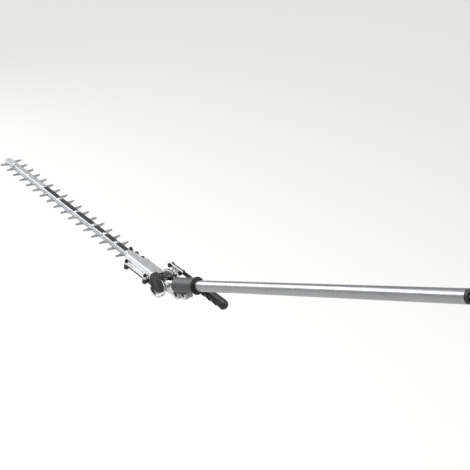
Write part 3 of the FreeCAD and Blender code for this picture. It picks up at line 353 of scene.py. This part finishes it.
def link_mesh(name: str, vertices: np.ndarray, faces: list[list[int]],
              smooth_angle: float = 35.0) -> bpy.types.Object:
    """Makes an object at the origin from row-frame vertices, smooth except at sharp edges.

    Args:
        name: the piece's name.
        vertices: an n by 3 array in metres.
        faces: lists of vertex numbers.
        smooth_angle: the angle in degrees past which an edge stays sharp.

    Returns:
        The linked object.
    """
    mesh = bpy.data.meshes.new(name)
    mesh.from_pydata(np.asarray(vertices).tolist(), [], faces)
    tidy = bmesh.new()
    tidy.from_mesh(mesh)
    bmesh.ops.remove_doubles(tidy, verts=tidy.verts, dist=1e-6)
    bmesh.ops.recalc_face_normals(tidy, faces=tidy.faces)
    tidy.to_mesh(mesh)
    tidy.free()
    mesh.shade_smooth()
    mesh.set_sharp_from_angle(angle=math.radians(smooth_angle))
    piece = bpy.data.objects.new(name, mesh)
    bpy.context.scene.collection.objects.link(piece)
    return piece


def points_of(mesh: bpy.types.Mesh) -> np.ndarray:
    """Returns a mesh's vertices as an n by 3 array."""
    points = np.empty(len(mesh.vertices) * 3)
    mesh.vertices.foreach_get("co", points)
    return points.reshape(-1, 3)


def carry(stations: np.ndarray, outlines: np.ndarray) -> np.ndarray:
    """Sets Y and Z outlines at stations along X.

    Args:
        stations: the X of each outline.
        outlines: one outline for every station, of the same number of points.

    Returns:
        An array of outlines in three dimensions, for loft.
    """
    along = np.broadcast_to(stations[:, None, None], (*outlines.shape[:2], 1))
    return np.concatenate([along, outlines], axis=2)


def grid_faces(rows: int, columns: int, wrap: bool = True, offset: int = 0) -> list[list[int]]:
    """Returns the quads of a grid of points, row after row, the columns closing round if wrapped.

    Args:
        rows: the number of rows of points.
        columns: the number of points in a row.
        wrap: whether the last column joins the first.
        offset: the number of the first vertex.

    Returns:
        Lists of four vertex numbers.
    """
    row, column = np.meshgrid(np.arange(rows - 1), np.arange(columns if wrap else columns - 1), indexing="ij")
    after = (column + 1) % columns
    quads = np.stack([row * columns + column, row * columns + after, (row + 1) * columns + after,
                      (row + 1) * columns + column], axis=-1).reshape(-1, 4)
    return (quads + offset).tolist()


def loft(sections: np.ndarray) -> tuple[np.ndarray, list[list[int]]]:
    """Joins closed outlines into a tube with a flat face at each end.

    Args:
        sections: an array of outlines, each of the same number of points, in any frame.

    Returns:
        Vertices and faces.
    """
    count, around = sections.shape[:2]
    faces = grid_faces(count, around)
    faces.append(list(range(around))[::-1])
    faces.append(list(range((count - 1) * around, count * around)))
    return sections.reshape(-1, 3), faces


def join_shapes(shapes: list[tuple[np.ndarray, list[list[int]]]]) -> tuple[np.ndarray, list[list[int]]]:
    """Puts several shapes' vertices and faces into one pair."""
    starts = np.cumsum([0] + [len(points) for points, _ in shapes[:-1]])
    faces = [[number + int(start) for number in face]
             for start, (_, part) in zip(starts, shapes) for face in part]
    return np.vstack([points for points, _ in shapes]), faces


def rounded(corners: list[tuple[float, float]], radius: float, steps: int = 5) -> np.ndarray:
    """Rounds a closed outline's corners.

    Each corner becomes a quadratic curve: (1-t)^2 A + 2t(1-t) P + t^2 B, with P the corner and A and B the
    points one radius before and after it, or a third of the side if that is nearer.

    Args:
        corners: the outline's corners in order.
        radius: the distance from a corner at which its curve starts.
        steps: the points on each curve.

    Returns:
        An array of len(corners) * steps points.
    """
    points = np.array(corners, dtype=float)
    before, after = np.roll(points, 1, 0) - points, np.roll(points, -1, 0) - points
    reach = [np.minimum(radius / np.linalg.norm(way, axis=1), 0.45)[:, None] * way for way in (before, after)]
    t = np.linspace(0.0, 1.0, steps)[None, :, None]
    start, finish = (points + reach[0])[:, None], (points + reach[1])[:, None]
    curve = (1 - t) ** 2 * start + 2 * t * (1 - t) * points[:, None] + t ** 2 * finish
    return curve.reshape(-1, 2)


def skin_of(name: str, nodes: list[bpy.types.Object], voxel: float, passes: int,
            strength: float = 0.5) -> bpy.types.Object:
    """Makes a cast or moulded skin of CAD nodes: merged, remeshed and eased, so its edges are round.

    Args:
        name: the piece's name.
        nodes: the CAD nodes that it is made from.
        voxel: the grid's pitch in millimetres.
        passes: how often the surface is eased.
        strength: how far each pass moves a point towards its neighbours.

    Returns:
        The linked object.
    """
    shapes = []
    for node in nodes:
        shapes.append((points_of(node.data), [list(face.vertices) for face in node.data.polygons]))
    piece = link_mesh(name, *join_shapes(shapes))
    remesh = piece.modifiers.new("cast", "REMESH")
    remesh.mode = "VOXEL"
    remesh.voxel_size = voxel * MM
    ease = piece.modifiers.new("ease", "SMOOTH")
    ease.factor = strength
    ease.iterations = passes
    shape = piece.evaluated_get(bpy.context.evaluated_depsgraph_get())
    mesh = bpy.data.meshes.new_from_object(shape)
    piece.modifiers.clear()
    piece.data = mesh
    mesh.name = name
    mesh.shade_smooth()
    return piece


def bevelled_copy(name: str, node: bpy.types.Object, width: float, segments: int = 2,
                  angle: float = 32.0) -> bpy.types.Object:
    """Copies a CAD node, merges its corners and breaks its sharp edges.

    Args:
        name: the piece's name.
        node: the CAD node.
        width: the width of the broken edge in millimetres.
        segments: how many strips it has.
        angle: the angle in degrees past which an edge is broken.

    Returns:
        The linked object.
    """
    faces = [list(face.vertices) for face in node.data.polygons]
    piece = link_mesh(name, points_of(node.data), faces, 30.0)
    tidy = bmesh.new()
    tidy.from_mesh(piece.data)
    bmesh.ops.dissolve_limit(tidy, angle_limit=math.radians(1.0), verts=tidy.verts, edges=tidy.edges)
    tidy.to_mesh(piece.data)
    tidy.free()
    bevel = piece.modifiers.new("edge", "BEVEL")
    bevel.width = width * MM
    bevel.segments = segments
    bevel.limit_method = "ANGLE"
    bevel.angle_limit = math.radians(angle)
    bevel.harden_normals = True
    return piece


# ---- the workshop ---------------------------------------------------------------------------------


@dataclass
class Workshop:
    """What every sub-assembly needs.

    Args:
        head: the head frame.
        shaft: the shaft frame.
        paints: the finishes made so far.
        done: the CAD nodes that a new piece stands for.
    """

    frame: dict
    head: LocalFrame
    shaft: LocalFrame
    paints: Paintbox = field(default_factory=Paintbox)
    done: set[str] = field(default_factory=set)

    def node(self, name: str) -> bpy.types.Object:
        """Returns a CAD node's object."""
        return self.frame["nodes"][name]

    def body_of(self, name: str) -> str:
        """Returns the body that a CAD node belongs to."""
        bodies = self.frame["record"]["behaviour"]["bodies"]
        return next(body for body, nodes in bodies.items() if name in nodes)

    def fit(self, piece: bpy.types.Object, finish: Finish, *nodes: str, like: str = "") -> None:
        """Dresses a new piece and fixes it to the CAD.

        Args:
            piece: the new piece.
            finish: its finish.
            nodes: the CAD nodes that it stands for.
            like: the CAD node whose body it shares, if it stands for none.
        """
        first = nodes[0] if nodes else like
        self.paints.coat(piece, finish)
        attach(piece, self.body_of(first))
        if nodes:
            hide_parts(*nodes)
            self.done.update(nodes)
        LOG.info("piece %s: %d faces, %s", piece.name, len(piece.data.polygons), finish.name)

    def dress_rest(self) -> None:
        """Gives every CAD node that still shows its finish, with its sharp edges kept."""
        for name, node in self.frame["nodes"].items():
            if name not in self.done:
                self.paints.coat(node, NODE_FINISH[name])
                LOG.info("CAD node %s: %s", name, NODE_FINISH[name].name)


# ---- the sub-assemblies -----------------------------------------------------------------------------


@dataclass
class DriveTube:
    """The drawn tube with its end fitting and the clamp collar.

    Args:
        shop: the workshop.
        collar_voxel: the grid pitch of the collar's casting skin in millimetres.
        fitting_voxel: the grid pitch of the end fitting's moulding skin in millimetres.
        lug_top: the height along the shaft frame's Z below which the collar is left bare.
    """

    shop: Workshop
    collar_voxel: float = 0.8
    fitting_voxel: float = 0.6
    lug_top: float = -18.6

    def bare_lugs(self, collar: bpy.types.Object) -> None:
        """Leaves the clamp lugs below the coated sleeve as bare casting, by the height of each face."""
        collar.data.materials.append(self.shop.paints.give(DIE_CAST))
        count = len(collar.data.polygons)
        centres = np.empty(count * 3)
        collar.data.polygons.foreach_get("center", centres)
        local = (centres.reshape(-1, 3) - self.shop.shaft.origin) / MM @ self.shop.shaft.axes.T
        collar.data.polygons.foreach_set("material_index", (local[:, 2] < self.lug_top).astype(np.int32))

    def build(self) -> None:
        """Builds the tube's pieces."""
        shop = self.shop
        tube = bevelled_copy("tube_skin", shop.node("shaft_tube"), 0.4)
        shop.fit(tube, DRAWN_TUBE, "shaft_tube")
        sleeve = skin_of("end_fitting", [shop.node("end_sleeve")], self.fitting_voxel, 4)
        shop.fit(sleeve, MOULDED_NYLON, "end_sleeve")
        collar = skin_of("collar_casting", [shop.node("clamp_collar")], self.collar_voxel, 5)
        shop.fit(collar, POWDER_COAT, "clamp_collar")
        self.bare_lugs(collar)
        ring = bevelled_copy("collar_seal_ring", shop.node("collar_ring"), 0.9, 3)
        shop.fit(ring, MOULDED_NYLON, "collar_ring")
        for name, finish in (("clamp_screws", BLACK_OXIDE), ("clamp_nuts", ZINC_PLATE)):
            shop.fit(bevelled_copy(f"{name}_set", shop.node(name), 0.35), finish, name)


@dataclass
class TiltJoint:
    """The neck, the cheeks, the index lever and the moulded cover of the tilting joint.

    Args:
        shop: the workshop.
        cover_middle: the middle of the cover's face, rearward and upward of the hinge.
        rim_radii: the half sizes of the two ribs moulded on the cover's face.
        cast_voxel: the grid pitch of the castings in millimetres.
        mould_voxel: the grid pitch of the mouldings in millimetres.
    """

    shop: Workshop
    cover_middle: tuple[float, float] = (-1.5, 11.0)
    rim_radii: tuple[float, ...] = (17.0, 11.5)
    cast_voxel: float = 0.7
    mould_voxel: float = 0.6

    def cover_ribs(self) -> None:
        """Builds the ribs on the cover's outer face as rings of half-round section.

        A ring's point is m + (R + r cos b) (cos a, sin a) in the face, and r sin b out of it, with R the
        ring's radius and r that of its section.
        """
        face = float(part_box("joint_cover")[0][1] - self.shop.head.origin[1]) / MM
        bead = 0.9
        turn = np.linspace(0, 2 * math.pi, 96, endpoint=False)[:, None]
        section = np.linspace(0, 2 * math.pi, 12, endpoint=False)[None, :]
        shapes = []
        for radius in self.rim_radii:
            out = radius + bead * np.cos(section)
            ring = np.stack([self.cover_middle[0] + out * np.cos(turn),
                             face + bead * np.sin(section) + 0 * turn,
                             self.cover_middle[1] + out * np.sin(turn)], axis=-1)
            closed = np.concatenate([ring, ring[:1]])
            shapes.append((closed.reshape(-1, 3), grid_faces(len(closed), 12)))
        points, faces = join_shapes(shapes)
        ribs = link_mesh("cover_ribs", self.shop.head.to_row(points), faces)
        self.shop.fit(ribs, MOULDED_NYLON, like="joint_cover")

    def build(self) -> None:
        """Builds the joint's pieces."""
        shop = self.shop
        for name, node, finish, voxel, passes in (
                ("neck_skin", "neck_casting", BUFFED_CAST, self.cast_voxel, 6),
                ("left_cheek_skin", "cheek_left", BUFFED_CAST, self.cast_voxel, 4),
                ("right_cheek_skin", "cheek_right", DIE_CAST, self.cast_voxel, 4),
                ("bevel_guard", "gear_shroud", DIE_CAST, self.cast_voxel, 4),
                ("cover_moulding", "joint_cover", MOULDED_NYLON, self.mould_voxel, 5),
                ("lever_moulding", "lock_lever", MOULDED_NYLON, self.mould_voxel, 4)):
            shop.fit(skin_of(name, [shop.node(node)], voxel, passes), finish, node)
        for name, node, finish, width in (
                ("seal_lip", "joint_seal", NITRILE, 0.6),
                ("index_plate", "index_quadrant", TURNED_STEEL, 0.4),
                ("hinge_bolt_pair", "hinge_pins", BLACK_OXIDE, 0.7)):
            shop.fit(bevelled_copy(name, shop.node(node), width), finish, node)
        self.cover_ribs()


@dataclass
class CutterBar:
    """The guide bar with its rolled left edge, the two toothed knives and what holds them.

    Args:
        shop: the workshop.
        tooth_start: the distance from the bar's middle at which a tooth's grinding starts.
        narrowing: how much of a tooth's width the grinding takes off on its cutting face.
        pitch: the pitch of the teeth.
        last_tooth: the place of the tooth next to the case, forwards of the hinge.
        sweep: how far forwards a tooth's tip leans.
        reach: the distance of a tooth's tip from the bar's middle.
        half_width: half the guide strip's width.
        strip_height: its thickness.
        bead_inner: where the rolled bead starts, across the strip.
        bead_crown: where its crown starts.
        bead_radius: the rounding of the strip's corners.
        heel_radius: the rounding of the corners inside the case.
        case_front: the place of the case's front face, where the bead ends.
    """

    shop: Workshop
    tooth_start: float = 12.5
    narrowing: float = 0.45
    pitch: float = 35.0
    last_tooth: float = 149.5
    sweep: float = 2.0
    reach: float = 33.0
    half_width: float = 8.0
    strip_height: float = 3.0
    bead_inner: float = -5.6
    bead_crown: float = -6.0
    bead_radius: float = 1.0
    heel_radius: float = 0.5
    case_front: float = -132.0

    def knife(self, name: str, node: str, upward: bool) -> None:
        """Builds one knife with ground teeth.

        A point of the cutting face that is out on a tooth moves towards the tooth's middle line by a share
        of its distance, x' = m + (1 - narrowing) (x - m), which leaves a bevel down each side.

        Args:
            name: the piece's name.
            node: the CAD node that it stands for.
            upward: whether the narrow face is the upper one.
        """
        head = self.shop.head
        blade = bevelled_copy(name, self.shop.node(node), 0.12, 1)
        local = (points_of(blade.data) - head.origin) / MM
        level = local[:, 2]
        middle = 0.5 * (level.min() + level.max())
        out = (np.abs(local[:, 1]) - self.tooth_start) / (self.reach - self.tooth_start)
        index = np.round((-local[:, 0] - self.last_tooth - self.sweep * np.clip(out, 0, 1)) / self.pitch)
        centre = -(self.last_tooth + index * self.pitch) - self.sweep * np.clip(out, 0, 1)
        facing = (level > middle) if upward else (level < middle)
        ground = facing & (out > 0.0) & (local[:, 0] < -self.last_tooth + 8.0)
        local[:, 0] = np.where(ground, centre + (1 - self.narrowing) * (local[:, 0] - centre), local[:, 0])
        blade.data.vertices.foreach_set("co", head.to_row(local).ravel())
        blade.data.update()
        self.shop.fit(blade, GROUND_STEEL, node)

    def guide(self) -> None:
        """Builds the guide strip: a thin section with a rolled bead on its left edge, along the bar."""
        head = self.shop.head
        low, high = (np.array(corner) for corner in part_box("guide_bar"))
        low, high = (low - head.origin) / MM, (high - head.origin) / MM
        floor, bead, side = float(low[2]), float(high[2]), self.half_width
        flat = floor + self.strip_height
        corner = [(-side, floor), (side, floor), (side, flat), (self.bead_inner, flat),
                  (self.bead_crown, bead), (-side, bead)]
        section = rounded(corner, self.bead_radius, 5)
        end_break = 0.4
        stations = np.array([low[0], low[0] + end_break, self.case_front - end_break, self.case_front])
        size = np.array([0.96, 1.0, 1.0, 0.98])
        centre = section.mean(axis=0)
        strip = loft(carry(stations, centre + (section - centre)[None] * size[:, None, None]))
        heel = rounded([(-side, floor), (side, floor), (side, flat), (-side, flat)], self.heel_radius, 4)
        under = np.array([self.case_front, float(high[0])])
        tail = carry(under, np.broadcast_to(heel, (2, *heel.shape)))
        points, faces = join_shapes([strip, loft(tail)])
        self.shop.fit(link_mesh("guide_strip", head.to_row(points), faces), BRUSHED_STEEL, "guide_bar")

    def build(self) -> None:
        """Builds the bar's pieces."""
        shop = self.shop
        self.knife("upper_blade", "upper_knife", True)
        self.knife("lower_blade", "lower_knife", False)
        self.guide()
        for name, node, finish, width in (
                ("rounded_nose", "tip_plate", BRUSHED_STEEL, 0.6),
                ("slide_strips", "wear_strips", ACETAL, 0.3),
                ("dome_bolts", "bar_bolts", ZINC_PLATE, 0.5),
                ("bar_washer_set", "bar_washers", ZINC_PLATE, 0.25),
                ("bar_nut_set", "bar_nuts", ZINC_PLATE, 0.4)):
            shop.fit(bevelled_copy(name, shop.node(node), width), finish, node)


@dataclass
class GearCase:
    """The two castings of the gear case with their screws and grease nipples.

    Args:
        shop: the workshop.
        voxel: the grid pitch of the castings in millimetres.
    """

    shop: Workshop
    voxel: float = 0.75

    def build(self) -> None:
        """Builds the case's pieces."""
        shop = self.shop
        upper = skin_of("upper_casting", [shop.node("gear_case_upper")], self.voxel, 6)
        shop.fit(upper, DIE_CAST, "gear_case_upper")
        # The lower casting is dressed in the dark grey painted shade of the flange's underside.
        lower = skin_of("lower_casting", [shop.node("gear_case_lower")], self.voxel, 6)
        shop.fit(lower, SHADED_LOWER_CAST, "gear_case_lower")
        for name, node, finish, width in (("case_screw_set", "case_screws", BLACK_OXIDE, 0.5),
                                          ("nipple_pair", "grease_nipples", ZINC_PLATE, 0.3)):
            shop.fit(bevelled_copy(name, shop.node(node), width), finish, node)


@dataclass
class AdjustingHandle:
    """The bracket, the arm, its bolts and the moulded grip with finger scallops.

    Args:
        shop: the workshop.
        start: where the grip starts, rearward of the hinge.
        length: the grip's length.
        radius: its radius.
        side: how far right its axis lies.
        level: how high its axis lies.
        scallops: the number of finger scallops.
        scallop_pitch: their pitch.
        scallop_radius: the radius that cuts them.
        scallop_depth: their depth.
        pockets: the number of core-saving pockets.
        pocket_length: their length.
        pocket_height: their height.
        pocket_depth: their depth.
        first_scallop: the first scallop's middle, from the grip's start.
        first_pocket: the first pocket's front, from the grip's start.
        heel_length: the length over which the front end is broken.
        heel_break: how much that takes off the radius.
        pocket_wall: the width of a pocket's eased wall.
    """

    shop: Workshop
    start: float = 80.0
    length: float = 95.0
    radius: float = 12.2
    side: float = 34.5
    level: float = 29.0
    scallops: int = 4
    scallop_pitch: float = 21.0
    scallop_radius: float = 13.0
    scallop_depth: float = 3.2
    pockets: int = 3
    pocket_length: float = 13.0
    pocket_height: float = 9.0
    pocket_depth: float = 4.0
    first_scallop: float = 14.0
    first_pocket: float = 18.0
    heel_length: float = 2.0
    heel_break: float = 1.2
    pocket_wall: float = 1.1

    def grip(self) -> None:
        """Builds the grip as one surface r(x, a) about its axis.

        The radius is the bar's own, r0, closed by a quarter circle at each end. Underneath, each scallop
        takes off what a circle of the cutting radius would, weighted by how far the point faces down. On
        the inner side each pocket takes off its depth inside a rounded box, with eased walls.
        """
        steps, around = 260, 96
        x = np.linspace(0.0, self.length, steps)
        angle = np.linspace(0, 2 * math.pi, around, endpoint=False)
        nose = np.clip((x - (self.length - self.radius)) / self.radius, 0, 1)
        heel = np.clip((self.heel_length - x) / self.heel_length, 0, 1)
        base = self.radius * np.sqrt(1 - nose ** 2) - self.heel_break * heel ** 2
        along, turn = np.meshgrid(x, angle, indexing="ij")
        down = np.clip(-np.sin(turn), 0, 1)
        inward = np.clip(-np.cos(turn), 0, 1)
        centres = self.first_scallop + np.arange(self.scallops) * self.scallop_pitch
        gap = np.abs(along[..., None] - centres)
        dip = np.sqrt(np.clip(self.scallop_radius ** 2 - gap ** 2, 0, None)) - self.scallop_radius
        bite = np.clip(self.scallop_depth + dip, 0, None).max(axis=-1) * down ** 1.4
        fronts = self.first_pocket + np.arange(self.pockets) * self.scallop_pitch
        middles = fronts + self.pocket_length / 2
        reach = self.pocket_length / 2 - np.abs(along[..., None] - middles).min(axis=-1)
        rise = self.radius * np.sin(turn) + 1.0
        width = self.pocket_height / 2 - np.abs(rise)
        wall = np.clip(np.minimum(reach, width) / self.pocket_wall, 0, 1)
        pocket = self.pocket_depth * (3 * wall ** 2 - 2 * wall ** 3) * (inward > 0.3)
        radius = np.clip(base[:, None] - bite * (base[:, None] > self.radius * 0.8) - pocket, 0.02, None)
        ring = np.stack([self.start + along, self.side + radius * np.cos(turn),
                         self.level + radius * np.sin(turn)], axis=-1)
        points, faces = loft(ring)
        grip = link_mesh("finger_grip", self.shop.head.to_row(points), faces, 60.0)
        self.shop.fit(grip, HANDLE_NYLON, "handle_grip")

    def build(self) -> None:
        """Builds the handle's pieces."""
        shop = self.shop
        self.grip()
        plate = skin_of("bracket_casting", [shop.node("handle_bracket")], 0.6, 4)
        shop.fit(plate, DIE_CAST, "handle_bracket")
        for name, node, finish, width in (("handle_strap", "handle_arm", BLACK_OXIDE, 0.6),
                                          ("knob_bolts", "bracket_bolts", BLACK_OXIDE, 0.8)):
            shop.fit(bevelled_copy(name, shop.node(node), width, 3), finish, node)


# ---- the studio -------------------------------------------------------------------------------------


@dataclass(frozen=True)
class Lamp:
    """A soft box: where it stands from the hinge, how large it is and how bright.

    Args:
        name: the lamp's name.
        place: its place in metres from the hinge.
        target: the point it faces, in metres from the hinge.
        size: its side in metres.
        power: its power in watts.
    """

    name: str
    place: tuple[float, float, float]
    target: tuple[float, float, float]
    size: float
    power: float


@dataclass(frozen=True)
class Studio:
    """A pale floor, soft boxes and the camera.

    Args:
        head: the head frame.
        eye: the camera's place in the head frame in millimetres.
        back: the way from the object to the camera.
        up: the camera's up.
        focal: the focal length in picture widths.
        floor_half: half the floor's side in metres.
        drop: how far below the object the floor lies, in metres, so that the tilted bar clears it.
        lamps: the soft boxes.
    """

    head: LocalFrame
    eye: tuple[float, float, float] = (1071.5, -939.2, 1055.2)
    back: tuple[float, float, float] = (0.57392, -0.62156, 0.53318)
    up: tuple[float, float, float] = (-0.45173, 0.30278, 0.83921)
    focal: float = 745.0 / 470.0
    drop: float = 0.75
    floor_half: float = 60.0
    lamps: tuple[Lamp, ...] = (
        Lamp("overhead_box", (-0.1, -0.3, 2.2), (0.1, 0.0, 0.0), 1.8, 55.0),
        Lamp("front_box", (-1.6, -1.4, 1.4), (0.0, 0.0, 0.0), 1.2, 18.0),
        Lamp("bar_end_box", (-2.8, -0.5, 0.8), (0.3, 0.0, 0.1), 2.0, 42.0),
        Lamp("side_box", (1.2, 1.6, 1.0), (0.2, 0.0, 0.1), 1.0, 8.0),
    )

    def camera(self) -> None:
        """Places the camera."""
        back = Vector(self.back).normalized()
        up = Vector(self.up)
        right = up.cross(back).normalized()
        lens = bpy.data.cameras.new("camera")
        lens.lens = lens.sensor_width * self.focal
        lens.clip_end = 50.0
        holder = bpy.data.objects.new("camera", lens)
        holder.matrix_world = Matrix((right, back.cross(right), back)).transposed().to_4x4()
        holder.location = Vector(self.head.to_row(np.array(self.eye)))
        bpy.context.scene.collection.objects.link(holder)
        bpy.context.scene.camera = holder

    def light(self) -> None:
        """Hangs the soft boxes and sets a pale sky that is darker towards the horizon."""
        for lamp in self.lamps:
            light = bpy.data.lights.new(lamp.name, "AREA")
            light.shape = "SQUARE"
            light.size = lamp.size
            light.energy = lamp.power
            box = bpy.data.objects.new(lamp.name, light)
            place = Vector(lamp.place) + Vector(self.head.origin)
            box.location = place
            way = Vector(lamp.target) + Vector(self.head.origin) - place
            box.rotation_euler = way.to_track_quat("-Z", "Y").to_euler()
            bpy.context.scene.collection.objects.link(box)
        world = bpy.data.worlds.new("studio")
        bpy.context.scene.world = world
        world.use_nodes = True
        tree = world.node_tree
        sky = tree.nodes["Background"]
        sky.inputs["Strength"].default_value = 0.8
        way = add_node(tree, "ShaderNodeTexCoord")
        part = add_node(tree, "ShaderNodeSeparateXYZ", None, {"Vector": way.outputs["Generated"]})
        fade = add_node(tree, "ShaderNodeMapRange",
                        {"From Min": -0.1, "From Max": 0.6, "To Min": 0.45, "To Max": 1.0},
                        {"Value": part.outputs["Z"]})
        tree.links.new(fade.outputs["Result"], sky.inputs["Color"])

    def floor(self, low: float) -> None:
        """Lays the pale floor, a little self-lit so that shadows on it stay soft and faint.

        Args:
            low: the height of the object's lowest point in metres.
        """
        half = self.floor_half
        level = low - self.drop
        corners = [(-half, -half, level), (half, -half, level), (half, half, level), (-half, half, level)]
        mesh = bpy.data.meshes.new("studio_floor")
        mesh.from_pydata(corners, [], [(0, 1, 2, 3)])
        plane = bpy.data.objects.new("studio_floor", mesh)
        bpy.context.scene.collection.objects.link(plane)
        paint = bpy.data.materials.new("pale_floor")
        paint.use_nodes = True
        shader = paint.node_tree.nodes["Principled BSDF"]
        shader.inputs["Base Color"].default_value = linear("9E9E9D")
        shader.inputs["Roughness"].default_value = 1.0
        shader.inputs["Specular IOR Level"].default_value = 0.0
        shader.inputs["Emission Color"].default_value = linear("FFFFFD")
        shader.inputs["Emission Strength"].default_value = 0.5
        mesh.materials.append(paint)
        plane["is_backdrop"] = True

    def build(self, low: float) -> None:
        """Sets up the camera, the lights and the floor."""
        self.camera()
        self.light()
        self.floor(low)
        bpy.context.scene.view_settings.view_transform = "Standard"


def main() -> None:
    """Builds the studio and every sub-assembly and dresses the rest."""
    logging.basicConfig(level=logging.INFO, format="%(name)s: %(message)s")
    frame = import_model()
    cad_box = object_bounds()
    head, shaft = frames_of(frame["record"])
    shop = Workshop(frame, head, shaft)
    Studio(head).build(float(cad_box[0][2]))
    for kind in (DriveTube, TiltJoint, CutterBar, GearCase, AdjustingHandle):
        kind(shop).build()
    shop.dress_rest()


if __name__ == "__main__":
    main()
